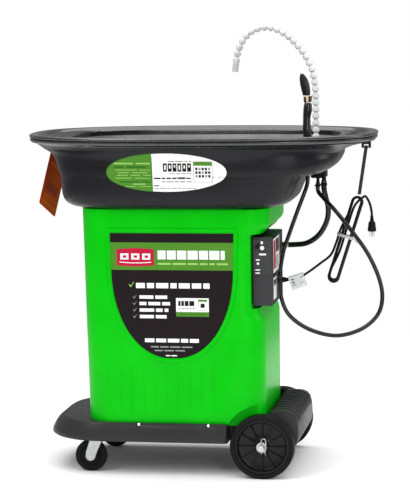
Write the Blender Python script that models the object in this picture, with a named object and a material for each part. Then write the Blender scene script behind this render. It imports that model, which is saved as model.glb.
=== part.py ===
"""Mobile parts washer: a deep sink with a goose-neck spout and a flow-through brush, on a
wheeled reservoir with a side control box, hoses and a hung mains cord. Metres, +Z up,
+X towards the big wheels, -Y is the front."""

import math

import bmesh
import bpy
from mathutils import Matrix, Vector

GAP = 0.0003  # left between pieces that touch
SMOOTH_ANGLE = math.radians(35)

# Sink
RIM_TOP = 1.0755
RIM_HALF_LENGTH = 0.561
RIM_HALF_DEPTH = 0.322
RIM_SQUARENESS = 2.6
BOWL_SQUARENESS = 4.0
SINK_BOTTOM = 0.848
SINK_FLOOR = 0.858
SHELF_FLOOR = 0.962
SHELF_UNDERSIDE = 0.952
DECK = 1.0635
DRAIN = Vector((-0.070, 0.0))
DRAIN_RADIUS = 0.030
GRATE_TOP = 0.905
GRATE_THICKNESS = 0.006

# Reservoir tank
TANK_LEFT = -0.368
TANK_TAPER = 0.016  # how much the left side leans in per metre of drop
TANK_RIGHT = 0.219
TANK_HALF_DEPTH = 0.225
TANK_LEFT_CORNER = 0.090
TANK_RIGHT_CORNER = 0.070
TANK_BOTTOM = 0.1583
TANK_TOP = SINK_BOTTOM - GAP
TANK_WALL = 0.006
COLLAR_RIGHT = 0.236
NOTCH_LEFT = 0.179
NOTCH_LOW = 0.531
NOTCH_HIGH = 0.767

# Dolly base, axle and big wheels
BASE_BOTTOM = 0.108
BASE_TOP = 0.168
SEAT = TANK_BOTTOM - GAP
BASE_WALL = 0.008
BASE_MAIN_RIGHT = 0.104
TONGUE_HALF = 0.190
WHEEL_RADIUS = 0.1016
AXLE_X = 0.215
AXLE_Z = WHEEL_RADIUS
AXLE_RADIUS = 0.0095
AXLE_HALF = 0.277
WHEEL_SIDES = 26
TYRE_INNER_FACE = 0.215
TYRE_OUTER_FACE = 0.259
HUB_RADIUS = 0.086
ARCH_RADIUS = 0.128
BOLT_X = (-0.180, 0.043)
BOLT_Z = 0.1628
BOLT_SEAT = 0.2345

# Casters
CASTER_RADIUS = 0.0508
CASTER_WIDTH = 0.028
CASTER_PIN_X = -0.322
CASTER_TRAIL = 0.025
CASTER_Y = 0.185
CASTER_CEILING = 0.150

# Control box
BOX_LEFT = 0.183
BOX_RIGHT = 0.246
BOX_FRONT = -0.190
BOX_BACK = 0.050
BOX_LOW = 0.540
BOX_HIGH = 0.757
COVER_DEPTH = 0.016
BOX_WALL = 0.0036
BUTTON = Vector((0.2145, 0.723))
WINDOW = Vector((0.2155, 0.703))

# Spout
SPOUT_X = 0.3617
SPOUT_Y = 0.020
LINK_RADIUS = 0.0112
LINK_PITCH = 0.0215
BALL_RADIUS = 0.0074
SOCKET_RADIUS = 0.0088
SPOUT_GROUPS = 6
LINKS_PER_GROUP = 5
SPOUT_SIDES = 8

# Brush
BRUSH_X = 0.3457
BRUSH_Y = -0.070
GROMMET_HOLE = 0.0110
BRUSH_FOOT = SHELF_FLOOR + 0.0052

# Hoses and cord
BRUSH_HOSE_RADIUS = 0.0066
SUPPLY_HOSE_RADIUS = 0.0088
CORD_RADIUS = 0.0039
WALL_PORT = Vector((NOTCH_LEFT, 0.095, 0.700))
PORT_INNER_END = 0.153
GLAND = Vector((BOX_RIGHT, 0.000, 0.598))
HOOK = Vector((0.526, 0.000, 1.039))
STRAP_HALF_WIDTH = 0.0050
STRAP_HALF_THICK = 0.0007

MATERIALS = {
    "black_plastic": ((0.028, 0.028, 0.031), 0.42, 0.0),
    "dark_plastic": ((0.050, 0.050, 0.054), 0.50, 0.0),
    "green_plastic": ((0.010, 0.620, 0.018), 0.35, 0.0),
    "grey_plastic": ((0.085, 0.087, 0.092), 0.50, 0.0),
    "black_rubber": ((0.018, 0.018, 0.019), 0.75, 0.0),
    "white_plastic": ((0.800, 0.800, 0.780), 0.45, 0.0),
    "beige_plastic": ((0.780, 0.640, 0.480), 0.50, 0.0),
    "zinc": ((0.620, 0.630, 0.650), 0.30, 1.0),
    "steel": ((0.560, 0.565, 0.575), 0.25, 1.0),
    "red_lens": ((0.700, 0.080, 0.050), 0.20, 0.0),
    "mat_fabric": ((0.550, 0.560, 0.540), 0.95, 0.0),
    "orange_card": ((0.620, 0.170, 0.030), 0.60, 0.0),
}


def clear_scene():
    for obj in list(bpy.data.objects):
        bpy.data.objects.remove(obj, do_unlink=True)


def material(key):
    found = bpy.data.materials.get(key)
    if found:
        return found
    colour, roughness, metallic = MATERIALS[key]
    made = bpy.data.materials.new(key)
    made.use_nodes = True
    shader = made.node_tree.nodes["Principled BSDF"]
    shader.inputs["Base Color"].default_value = (*colour, 1.0)
    shader.inputs["Roughness"].default_value = roughness
    shader.inputs["Metallic"].default_value = metallic
    return made


def add(name, data, key, location=(0, 0, 0)):
    """Puts mesh or curve data into the scene as an object with its material."""
    obj = bpy.data.objects.new(name, data)
    obj.location = location
    bpy.context.scene.collection.objects.link(obj)
    data.materials.append(material(key))
    return obj


def finish(bm, name):
    """Turns a bmesh into mesh data, facing out and smooth where it is round."""
    bmesh.ops.recalc_face_normals(bm, faces=bm.faces)
    data = bpy.data.meshes.new(name)
    bm.to_mesh(data)
    bm.free()
    data.shade_smooth()
    data.set_sharp_from_angle(angle=SMOOTH_ANGLE)
    return data


def loft_into(bm, rings):
    """Skins rings of equal count; a ring of one point closes to a tip, others get a cap."""
    made = [[bm.verts.new(point) for point in ring] for ring in rings]
    for low, high in zip(made, made[1:]):
        count = max(len(low), len(high))
        for i in range(count):
            j = (i + 1) % count
            corners = [low[i % len(low)], low[j % len(low)], high[j % len(high)], high[i % len(high)]]
            bm.faces.new(list(dict.fromkeys(corners)))
    for end in (made[0], made[-1]):
        if len(end) > 2:
            bm.faces.new(end)


def loft(name, rings):
    bm = bmesh.new()
    loft_into(bm, rings)
    return finish(bm, name)


def circle(radius, height, count=24):
    """A ring about +Z at a height, or a single point when the radius is nothing."""
    if radius == 0:
        return [Vector((0, 0, height))]
    turn = 2 * math.pi / count
    return [Vector((radius * math.cos(i * turn), radius * math.sin(i * turn), height)) for i in range(count)]


def turned(name, profile, count=24):
    """A solid turned about +Z from (radius, height) pairs that run from one end to the other."""
    return loft(name, [circle(radius, height, count) for radius, height in profile])


def turned_ring(name, profile, count=24):
    """A ring turned about +Z from a closed outline of (radius, height) pairs."""
    bm = bmesh.new()
    rings = [[bm.verts.new(p) for p in circle(radius, height, count)] for radius, height in profile]
    for low, high in zip(rings, rings[1:] + rings[:1]):
        for i in range(count):
            j = (i + 1) % count
            bm.faces.new((low[i], low[j], high[j], high[i]))
    return finish(bm, name)


def box_into(bm, low, high):
    made = bmesh.ops.create_cube(bm, size=1.0)
    size = Vector(high) - Vector(low)
    centre = (Vector(high) + Vector(low)) / 2
    matrix = Matrix.Translation(centre) @ Matrix.Diagonal((*size, 1.0))
    bmesh.ops.transform(bm, matrix=matrix, verts=made["verts"])
    return made["verts"]


def boxes(name, pairs):
    """Mesh data of one or more boxes, each given by its low and high corner."""
    bm = bmesh.new()
    for low, high in pairs:
        box_into(bm, low, high)
    return finish(bm, name)


def soft_box(name, low, high, width, segments=2):
    """A box with rounded edges."""
    bm = bmesh.new()
    box_into(bm, low, high)
    bmesh.ops.bevel(bm, geom=list(bm.edges), offset=width, segments=segments, affect="EDGES", profile=0.5)
    return finish(bm, name)


def rods(name, ends, radius, count=16):
    """Mesh data of straight round rods between pairs of points."""
    bm = bmesh.new()
    for start, stop in ends:
        along = Vector(stop) - Vector(start)
        turn = along.to_track_quat("Z", "Y").to_matrix().to_4x4()
        place = Matrix.Translation(Vector(start)) @ turn
        loft_into(bm, [[place @ p for p in circle(radius, h, count)] for h in (0, along.length)])
    return finish(bm, name)


def cutter(name, data):
    obj = bpy.data.objects.new(name, data)
    obj.hide_render = True
    obj.display_type = "WIRE"
    bpy.context.scene.collection.objects.link(obj)
    return obj


def combine(target, data, operation):
    """Adds an exact Boolean of other mesh data to the target."""
    modifier = target.modifiers.new(f"{operation.lower()}_{len(target.modifiers)}", "BOOLEAN")
    modifier.operation = operation
    modifier.solver = "EXACT"
    modifier.object = cutter(f"helper_{data.name}", data)
    return modifier.object


def cut(target, data):
    return combine(target, data, "DIFFERENCE")


def join(target, data):
    return combine(target, data, "UNION")


def smooth_route(points, spacing):
    """Even points along a smooth curve through a route's own points."""
    points = [Vector(p) for p in points]
    ends = [2 * points[0] - points[1], *points, 2 * points[-1] - points[-2]]
    dense = []
    for a, b, c, d in zip(ends, ends[1:], ends[2:], ends[3:]):
        for step in range(24):
            t = step / 24
            dense.append(0.5 * (2 * b + (c - a) * t + (2 * a - 5 * b + 4 * c - d) * t * t + (3 * b - a - 3 * c + d) * t ** 3))
    dense.append(points[-1])
    travelled = [0.0]
    for a, b in zip(dense, dense[1:]):
        travelled.append(travelled[-1] + (b - a).length)
    count = max(2, round(travelled[-1] / spacing))
    even = []
    at = 0
    for i in range(count + 1):
        target = travelled[-1] * i / count
        while at < len(dense) - 2 and travelled[at + 1] < target:
            at += 1
        share = (target - travelled[at]) / (travelled[at + 1] - travelled[at])
        even.append(dense[at].lerp(dense[at + 1], share))
    return even


def tube(name, points, radius, key, resolution=2):
    """A round tube as a curve object with filled caps."""
    data = bpy.data.curves.new(name, "CURVE")
    data.dimensions = "3D"
    data.bevel_depth = radius
    data.bevel_resolution = resolution
    data.use_fill_caps = True
    spline = data.splines.new("POLY")
    spline.points.add(len(points) - 1)
    for place, point in zip(spline.points, points):
        place.co = (*point, 1.0)
    return add(name, data, key)


# ---------------------------------------------------------------- sink


def oval(left, right, half_depth, squareness, height, count=40):
    """A superellipse outline between two X limits."""
    middle = (left + right) / 2
    half = (right - left) / 2
    power = 2 / squareness
    ring = []
    for i in range(count):
        angle = 2 * math.pi * (i + 0.5) / count
        c = math.cos(angle)
        s = math.sin(angle)
        x = middle + half * math.copysign(abs(c) ** power, c)
        y = half_depth * math.copysign(abs(s) ** power, s)
        ring.append(Vector((x, y, height)))
    return ring


def rim_ring(inset, height):
    half = RIM_HALF_LENGTH - inset
    return oval(-half, half, RIM_HALF_DEPTH - inset, RIM_SQUARENESS, height)


def hook_plate(margin):
    """The low and high corners of the hook's plate, grown by a margin."""
    grow = Vector((margin, margin, margin))
    return HOOK - Vector((0.017, 0.003, 0.017)) - grow, HOOK + Vector((0.013, 0.003, 0.015)) + grow


def sink_basin():
    bowl = BOWL_SQUARENESS
    outside = [
        oval(-0.385, 0.262, 0.230, bowl, SINK_BOTTOM),
        oval(-0.412, 0.283, 0.247, bowl, 0.854),
        oval(-0.433, 0.300, 0.262, bowl, 0.869),
        oval(-0.442, 0.312, 0.270, bowl, 0.895),
        oval(-0.445, 0.331, 0.276, bowl, 0.940),
        oval(-0.448, 0.338, 0.277, bowl, SHELF_UNDERSIDE - 0.001),
        oval(-0.448, 0.395, 0.278, bowl, SHELF_UNDERSIDE),
        oval(-0.453, 0.427, 0.281, bowl, 0.970),
        oval(-0.466, 0.447, 0.285, 3.6, 1.000),
        oval(-0.483, 0.453, 0.292, 3.2, 1.018),
        oval(-0.512, 0.480, 0.302, 2.7, 1.031),
        oval(-0.525, 0.507, 0.306, 2.6, 1.0385),
        oval(-0.540, 0.551, 0.315, 2.6, 1.0480),
    ]
    rim = [
        rim_ring(0.004, 1.0560),
        rim_ring(0.002, 1.0610),
        rim_ring(0.007, 1.0645),
        rim_ring(0.001, 1.0675),
        rim_ring(0.001, 1.0725),
        rim_ring(0.008, RIM_TOP),
        rim_ring(0.024, RIM_TOP),
        rim_ring(0.034, DECK),
    ]
    inside = [
        oval(-0.425, 0.438, 0.276, 3.5, DECK - 0.0005),
        oval(-0.433, 0.433, 0.270, bowl, 1.040),
        oval(-0.440, 0.421, 0.267, bowl, 0.985),
        oval(-0.442, 0.388, 0.265, bowl, SHELF_FLOOR),
        oval(-0.442, 0.327, 0.264, bowl, SHELF_FLOOR - 0.002),
        oval(-0.440, 0.320, 0.263, bowl, 0.950),
        oval(-0.433, 0.304, 0.258, bowl, 0.895),
        oval(-0.425, 0.290, 0.250, bowl, 0.872),
        oval(-0.396, 0.262, 0.230, bowl, SINK_FLOOR),
    ]
    sink = add("sink_basin", loft("sink_basin", outside + rim + inside), "black_plastic")
    ribs = bmesh.new()
    for i in range(4):
        verts = box_into(ribs, (-0.040, -0.006, -0.004), (0.040, 0.006, 0.004))
        place = Matrix.Translation((-0.478, -0.105 + 0.070 * i, DECK)) @ Matrix.Rotation(math.radians(38), 4, "Z")
        bmesh.ops.transform(ribs, matrix=place, verts=verts)
    for i in range(3):
        box_into(ribs, (0.457, -0.072 + 0.060 * i, DECK - 0.004), (0.507, -0.060 + 0.060 * i, DECK + 0.004))
    join(sink, finish(ribs, "deck_ribs"))
    holes = [
        ((DRAIN.x, DRAIN.y, SINK_BOTTOM - 0.01), (DRAIN.x, DRAIN.y, SINK_FLOOR + 0.01), DRAIN_RADIUS),
        ((SPOUT_X, SPOUT_Y, 0.94), (SPOUT_X, SPOUT_Y, 0.975), 0.0108),
        ((BRUSH_X, BRUSH_Y, 0.94), (BRUSH_X, BRUSH_Y, 0.975), GROMMET_HOLE),
    ]
    for number, (start, stop, radius) in enumerate(holes):
        cut(sink, rods(f"sink_hole_{number}", [(start, stop)], radius, 20))
    cut(sink, boxes("hook_socket", [hook_plate(GAP)]))
    return sink


def sink_grate():
    """The false bottom: a slotted plate on four feet."""
    top = GRATE_TOP
    low = top - GRATE_THICKNESS
    outline = [oval(-0.426, 0.297, 0.250, BOWL_SQUARENESS, z, 32) for z in (low, top)]
    grate = add("sink_grate", loft("sink_grate", outline), "dark_plastic")
    feet = [((x, y, SINK_FLOOR + GAP), (x, y, low + 0.003)) for x in (-0.346, 0.216) for y in (-0.110, 0.110)]
    join(grate, rods("grate_feet", feet, 0.008, 8))
    slots = []
    for column in range(6):
        for row in range(4):
            x = -0.3480 + 0.1140 * column
            y = -0.165 + 0.110 * row
            slots.append(((x - 0.042, y - 0.009, low - 0.003), (x + 0.042, y + 0.009, top + 0.003)))
    cut(grate, boxes("grate_slots", slots))
    return grate


def filter_mat():
    low = SINK_FLOOR + GAP
    rings = [oval(-0.322, 0.190, 0.170, 5.0, z, 24) for z in (low, low + 0.010)]
    return add("filter_mat", loft("filter_mat", rings), "mat_fabric")


def drain_strainer():
    """A flanged cup that hangs in the drain hole, below the mat."""
    top = SINK_FLOOR - 0.0005
    outer = DRAIN_RADIUS - 0.0005
    profile = [(outer - 0.003, 0.820), (outer, 0.823), (outer, top)]
    inner = [(outer - 0.0025, top), (outer - 0.0025, 0.825), (outer - 0.005, 0.823)]
    strainer = add("drain_strainer", turned("drain_strainer", profile + inner, 20), "steel", (*DRAIN, 0))
    holes = []
    for i in range(5):
        angle = math.pi * i / 2.5
        x = 0.014 * math.cos(angle)
        y = 0.014 * math.sin(angle)
        holes.append(((x, y, 0.816), (x, y, 0.828)))
    cut(strainer, rods("strainer_holes", holes, 0.005, 6)).location = (*DRAIN, 0)
    return strainer


# ---------------------------------------------------------------- tank and base


def rounded(left, right, half_depth, left_radius, right_radius, height, steps=4):
    """A rectangle outline whose left and right corners have their own radii."""
    ring = []
    corners = [
        (right - right_radius, half_depth - right_radius, right_radius, 0),
        (left + left_radius, half_depth - left_radius, left_radius, 90),
        (left + left_radius, left_radius - half_depth, left_radius, 180),
        (right - right_radius, right_radius - half_depth, right_radius, 270),
    ]
    for x, y, radius, start in corners:
        for step in range(steps + 1):
            angle = math.radians(start + 90 * step / steps)
            ring.append(Vector((x + radius * math.cos(angle), y + radius * math.sin(angle), height)))
    return ring


def tank_ring(inset, right, height):
    left = TANK_LEFT + TANK_TAPER * (TANK_TOP - height)
    corners = (TANK_LEFT_CORNER - inset, TANK_RIGHT_CORNER - inset)
    return rounded(left + inset, right - inset, TANK_HALF_DEPTH - inset, *corners, height)


def tank_outline(inset):
    """The tank's outline at each height; the right side steps in behind the control box."""
    return [
        tank_ring(inset, TANK_RIGHT, TANK_BOTTOM + 0.010),
        tank_ring(inset, TANK_RIGHT, 0.485),
        tank_ring(inset, TANK_RIGHT - 0.003, 0.500),
        tank_ring(inset, TANK_RIGHT - 0.015, 0.520),
        tank_ring(inset, TANK_RIGHT - 0.015, 0.745),
        tank_ring(inset, TANK_RIGHT - 0.004, 0.772),
        tank_ring(inset, COLLAR_RIGHT - 0.005, 0.787),
        tank_ring(inset, COLLAR_RIGHT, 0.800),
    ]


def shield(scale, low, high):
    """A shield outline as a plate between two Y values."""
    half = 0.200 * scale
    middle = (-0.067, 0.574)
    top = 0.2025 * scale
    points = [(-half, top), (half, top), (half * 0.985, top - 0.12 * scale)]
    for step in range(1, 8):
        angle = math.radians(90 * step / 8)
        points.append((half * 0.985 * math.cos(angle) ** 0.92, 0.0825 * scale - 0.285 * scale * math.sin(angle)))
    points.append((0, -0.2035 * scale))
    left = [(-x, z) for x, z in reversed(points[2:-1])]
    outline = points + left
    return [[Vector((middle[0] + x, y, middle[1] + z)) for x, z in outline] for y in (low, high)]


def tank_shell():
    bottom = tank_ring(0.006, TANK_RIGHT, TANK_BOTTOM)
    top = tank_ring(0, COLLAR_RIGHT, TANK_TOP)
    tank = add("tank_shell", loft("tank_shell", [bottom, *tank_outline(0), top]), "green_plastic")
    inner = tank_outline(TANK_WALL)
    inner[0] = tank_ring(TANK_WALL, TANK_RIGHT, TANK_BOTTOM + TANK_WALL)
    inner.append(tank_ring(TANK_WALL, COLLAR_RIGHT, TANK_TOP + 0.02))
    notch = ((NOTCH_LEFT, -0.30, NOTCH_LOW), (0.30, 0.30, NOTCH_HIGH))
    wall = TANK_WALL
    kept = ((NOTCH_LEFT - wall, -0.31, NOTCH_LOW - wall), (0.31, 0.31, NOTCH_HIGH + wall))
    arches = [((AXLE_X, side * 0.204, AXLE_Z), (AXLE_X, side * 0.26, AXLE_Z)) for side in (-1, 1)]
    inner_arches = [((AXLE_X, side * 0.198, AXLE_Z), (AXLE_X, side * 0.27, AXLE_Z)) for side in (-1, 1)]
    hollow = cut(tank, loft("tank_hollow", inner))
    cut(hollow, boxes("notch_wall", [kept]))
    cut(hollow, rods("arch_wall", inner_arches, ARCH_RADIUS + wall, 28))
    cut(tank, boxes("box_notch", [notch]))
    cut(tank, rods("wheel_arches", arches, ARCH_RADIUS, 28))
    front = -TANK_HALF_DEPTH
    join(tank, loft("shield_frame", shield(1.045, front - 0.004, front + 0.003)))
    cut(tank, loft("shield_recess", shield(1.0, front - 0.010, front - 0.0015)))
    flutes = []
    for i in range(10):
        x = -0.275 + 0.0370 * i
        flutes.append(((x, front - 0.0035, 0.205), (x, front - 0.0035, 0.352)))
    cut(tank, rods("flutes", flutes, 0.0050, 6))
    ports = [(WALL_PORT - Vector((0.04, 0, 0)), WALL_PORT + Vector((0.02, 0, 0)))]
    cut(tank, rods("wall_port", ports, 0.0090, 16))
    for side in (-1, 1):
        ends = [((x, side * (TANK_HALF_DEPTH - 0.004), BOLT_Z), (x, side * 0.24, BOLT_Z)) for x in BOLT_X]
        cut(tank, rods(f"bolt_seats_{side}", ends, 0.0034, 10))
    return tank


def step_profile(inset, y):
    """The side outline of the tongue with the axle boss and the foot step."""
    points = [
        (0.060, BASE_BOTTOM + 0.002),
        (0.165, BASE_BOTTOM + 0.002),
        (0.186, 0.084),
        (0.300, 0.086),
        (0.316, 0.098),
        (0.322, 0.125),
        (0.321, 0.165),
        (0.313, 0.190),
        (0.298, 0.202),
        (0.278, 0.206),
        (0.242, 0.204),
        (0.227, 0.194),
        (0.2235, 0.180),
        (0.2235, SEAT),
        (0.060, SEAT),
    ]
    return [Vector((x - inset, y, z)) for x, z in points]


def base_dolly():
    outer = [
        rounded(-0.497, BASE_MAIN_RIGHT, 0.246, 0.190, 0.012, BASE_BOTTOM),
        rounded(-0.499, BASE_MAIN_RIGHT, 0.248, 0.190, 0.012, BASE_BOTTOM + 0.006),
        rounded(-0.486, BASE_MAIN_RIGHT, 0.244, 0.185, 0.012, 0.146),
        rounded(-0.474, BASE_MAIN_RIGHT, 0.241, 0.180, 0.012, 0.162),
        rounded(-0.461, BASE_MAIN_RIGHT, 0.238, 0.175, 0.010, BASE_TOP),
    ]
    base = add("base_dolly", loft("base_dolly", outer), "dark_plastic")
    tongue = join(base, loft("tongue", [step_profile(0, -TONGUE_HALF), step_profile(0, TONGUE_HALF)]))
    ribs = []
    for i in range(9):
        y = -0.152 + 0.038 * i
        ribs.append(((0.252, y - 0.004, 0.200), (0.302, y + 0.004, 0.2085)))
    join(tongue, boxes("step_ribs", ribs))
    seat = [tank_ring(-0.0008, TANK_RIGHT, z) for z in (SEAT, BASE_TOP + 0.02)]
    cut(base, loft("tank_seat", seat))
    hollow = [
        rounded(-0.485, BASE_MAIN_RIGHT - BASE_WALL, 0.234, 0.180, 0.010, BASE_BOTTOM - 0.02),
        rounded(-0.474, BASE_MAIN_RIGHT - BASE_WALL, 0.230, 0.175, 0.010, CASTER_CEILING),
    ]
    cut(base, loft("underside", hollow))
    inside = TONGUE_HALF - 0.012
    cut(base, boxes("tongue_hollow", [((0.088, -inside, 0.05), (0.230, inside, CASTER_CEILING - 0.001))]))
    cut(base, boxes("step_hollow", [((0.220, -inside, 0.04), (0.310, inside, CASTER_CEILING - 0.002))]))
    axle_hole = [((AXLE_X, -0.25, AXLE_Z), (AXLE_X, 0.25, AXLE_Z))]
    cut(base, rods("axle_hole", axle_hole, AXLE_RADIUS + GAP, 20))
    for side in (-1, 1):
        shanks = [((x, side * 0.215, BOLT_Z), (x, side * 0.26, BOLT_Z)) for x in BOLT_X]
        heads = [((x, side * BOLT_SEAT, BOLT_Z + 0.001), (x, side * 0.26, BOLT_Z + 0.001)) for x in BOLT_X]
        cut(base, rods(f"bolt_holes_{side}", shanks, 0.0034, 10))
        cut(base, rods(f"bolt_notches_{side}", heads, 0.0085, 16))
    return base


def base_bolt(name, x):
    """A domed bolt through the base's lip into the tank's foot."""
    face = BOLT_SEAT + GAP
    profile = [(0, 0.2240), (0.0031, 0.2240), (0.0031, face), (0.0060, face), (0.0057, face + 0.0028)]
    profile += [(0.0036, face + 0.0044), (0, face + 0.0048)]
    bolt = add(name, turned(name, profile, 10), "zinc", (x, 0, BOLT_Z))
    bolt.rotation_euler = (math.radians(90), 0, 0)
    return bolt


# ---------------------------------------------------------------- axle and big wheels


def axle():
    """A steel bar with a cross hole near each end for the hitch pins."""
    end = AXLE_HALF
    profile = [(0, -end), (AXLE_RADIUS - 0.001, -end), (AXLE_RADIUS, 0.001 - end)]
    profile += [(AXLE_RADIUS, end - 0.001), (AXLE_RADIUS - 0.001, end), (0, end)]
    bar = add("axle", turned("axle", profile, 16), "steel", (AXLE_X, 0, AXLE_Z))
    bar.rotation_euler = (math.radians(90), 0, 0)
    holes = [((AXLE_X, y, AXLE_Z - 0.02), (AXLE_X, y, AXLE_Z + 0.02)) for y in (-0.2655, 0.2655)]
    cut(bar, rods("pin_holes", holes, 0.0021, 8))
    return bar


def hub_mesh():
    """A dished hub on +Z: outer face at TYRE_OUTER_FACE, boss reaching in to the base."""
    inner_end = TONGUE_HALF + 0.0008
    bore = AXLE_RADIUS + GAP
    face = TYRE_OUTER_FACE - 0.003
    outline = [
        (bore, inner_end),
        (0.018, inner_end),
        (0.019, 0.228),
        (0.074, 0.231),
        (0.078, 0.218),
        (HUB_RADIUS, 0.218),
        (HUB_RADIUS, face),
        (0.078, face),
        (0.074, 0.240),
        (0.022, 0.240),
        (0.019, face),
        (bore, face),
    ]
    return turned_ring("wheel_hub", outline, WHEEL_SIDES)


def hub_ribs_mesh():
    bm = bmesh.new()
    for i in range(12):
        verts = box_into(bm, (0.0185, -0.0015, 0.236), (0.0765, 0.0015, 0.2500))
        bmesh.ops.transform(bm, matrix=Matrix.Rotation(math.pi * i / 6, 4, "Z"), verts=verts)
    return finish(bm, "hub_ribs")


def tyre_mesh():
    inner = HUB_RADIUS + GAP
    outer = WHEEL_RADIUS
    low = TYRE_INNER_FACE
    high = TYRE_OUTER_FACE
    outline = [
        (inner, low),
        (outer - 0.007, low),
        (outer - 0.0005, low + 0.008),
        (outer, (low + high) / 2),
        (outer - 0.0005, high - 0.008),
        (outer - 0.007, high),
        (inner, high),
    ]
    return turned_ring("wheel_tyre", outline, WHEEL_SIDES)


def washer_mesh():
    low = TYRE_OUTER_FACE - 0.0025
    bore = AXLE_RADIUS + GAP
    return turned_ring("axle_washer", [(bore, low), (0.0165, low), (0.0165, low + 0.002), (bore, low + 0.002)], 16)


def hitch_pin(name, side):
    """A hairpin clip: one leg through the axle, the other sprung around it."""
    x = AXLE_X
    y = side * 0.2655
    z = AXLE_Z
    out = 0.0150
    route = [
        (x, y, z - 0.018),
        (x, y, z + 0.000),
        (x, y, z + 0.018),
        (x + 0.002, y + side * 0.002, z + 0.027),
        (x + 0.008, y + side * 0.003, z + 0.031),
        (x + 0.014, y + side * 0.003, z + 0.026),
        (x + out, y + side * 0.003, z + 0.016),
        (x + 0.0140, y + side * 0.003, z + 0.000),
        (x + 0.0120, y + side * 0.003, z - 0.012),
        (x + 0.0145, y + side * 0.003, z - 0.020),
    ]
    return tube(name, smooth_route(route, 0.0055), 0.0017, "zinc", 1)


def big_wheels():
    """Each wheel's local +Z runs out along the axle, so one mesh serves both sides."""
    hub_data = hub_mesh()
    rib_data = hub_ribs_mesh()
    tyre_data = tyre_mesh()
    washer_data = washer_mesh()
    for word, side in (("near", -1), ("far", 1)):
        turn = (math.radians(-90 * side), 0, 0)
        place = (AXLE_X, 0, AXLE_Z)
        hub = add(f"{word}_wheel_hub", hub_data.copy(), "black_plastic", place)
        tyre = add(f"{word}_wheel_tyre", tyre_data.copy(), "black_rubber", place)
        washer = add(f"{word}_axle_washer", washer_data.copy(), "zinc", place)
        ribs = join(hub, rib_data.copy())
        ribs.location = place
        for obj in (hub, tyre, washer, ribs):
            obj.rotation_euler = turn
        hitch_pin(f"{word}_hitch_pin", side)


# ---------------------------------------------------------------- casters


def caster(word, side):
    x = CASTER_PIN_X
    y = side * CASTER_Y
    wheel_x = x - CASTER_TRAIL
    ceiling = CASTER_CEILING - GAP
    plate = add(f"{word}_caster_plate", boxes("caster_plate", [
        ((x - 0.034, y - 0.030, ceiling - 0.003), (x + 0.034, y + 0.030, ceiling))]), "zinc")
    race = [(0, -0.0165), (0.0050, -0.0165), (0.0050, -0.0035), (0.020, -0.0035), (0.020, 0.0005), (0, 0.0005)]
    join(plate, turned("caster_race", race, 16)).location = (x, y, ceiling - 0.003)
    crown_top = ceiling - 0.0070
    crown_low = 0.1275
    fork = add(f"{word}_caster_fork", turned_ring("caster_fork", [
        (0.0054, crown_low), (0.026, crown_low), (0.028, crown_low + 0.004),
        (0.026, crown_top), (0.0054, crown_top)], 14), "zinc", (x, y, 0))
    half = CASTER_WIDTH / 2 + 0.0035
    legs = bmesh.new()
    for edge in (-1, 1):
        outline = [(-0.021, 0.130), (0.024, 0.130), (0.020, 0.115), (-0.008, 0.040), (-0.032, 0.036), (-0.042, 0.052)]
        faces = [half, half + 0.0025]
        rings = [[Vector((x + px, y + edge * depth, pz)) for px, pz in outline] for depth in faces]
        loft_into(legs, rings)
    join(fork, finish(legs, f"{word}_fork_legs"))
    bolt_line = [((wheel_x, y - 0.04, CASTER_RADIUS), (wheel_x, y + 0.04, CASTER_RADIUS))]
    cut(fork, rods(f"{word}_fork_hole", bolt_line, 0.0043, 10))
    rim = CASTER_RADIUS
    wide = CASTER_WIDTH / 2
    outline = [(0.0044, -wide), (0.032, 0.004 - wide), (0.036, -wide), (rim - 0.004, -wide), (rim, 0.006 - wide)]
    outline += [(radius, -depth) for radius, depth in reversed(outline)]
    wheel = add(f"{word}_caster_wheel", turned_ring("caster_wheel", outline, 20), "black_rubber", (wheel_x, y, rim))
    wheel.rotation_euler = (math.radians(90), 0, 0)
    reach = half + 0.0025 + GAP
    profile = [(0, -reach - 0.004), (0.0065, -reach - 0.004), (0.0065, -reach), (0.0040, -reach)]
    profile += [(0.0040, reach + 0.002), (0, reach + 0.002)]
    bolt = add(f"{word}_caster_bolt", turned("caster_bolt", profile, 12), "steel", (wheel_x, y, rim))
    bolt.rotation_euler = (math.radians(-90 * side), 0, 0)


# ---------------------------------------------------------------- control box


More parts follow.
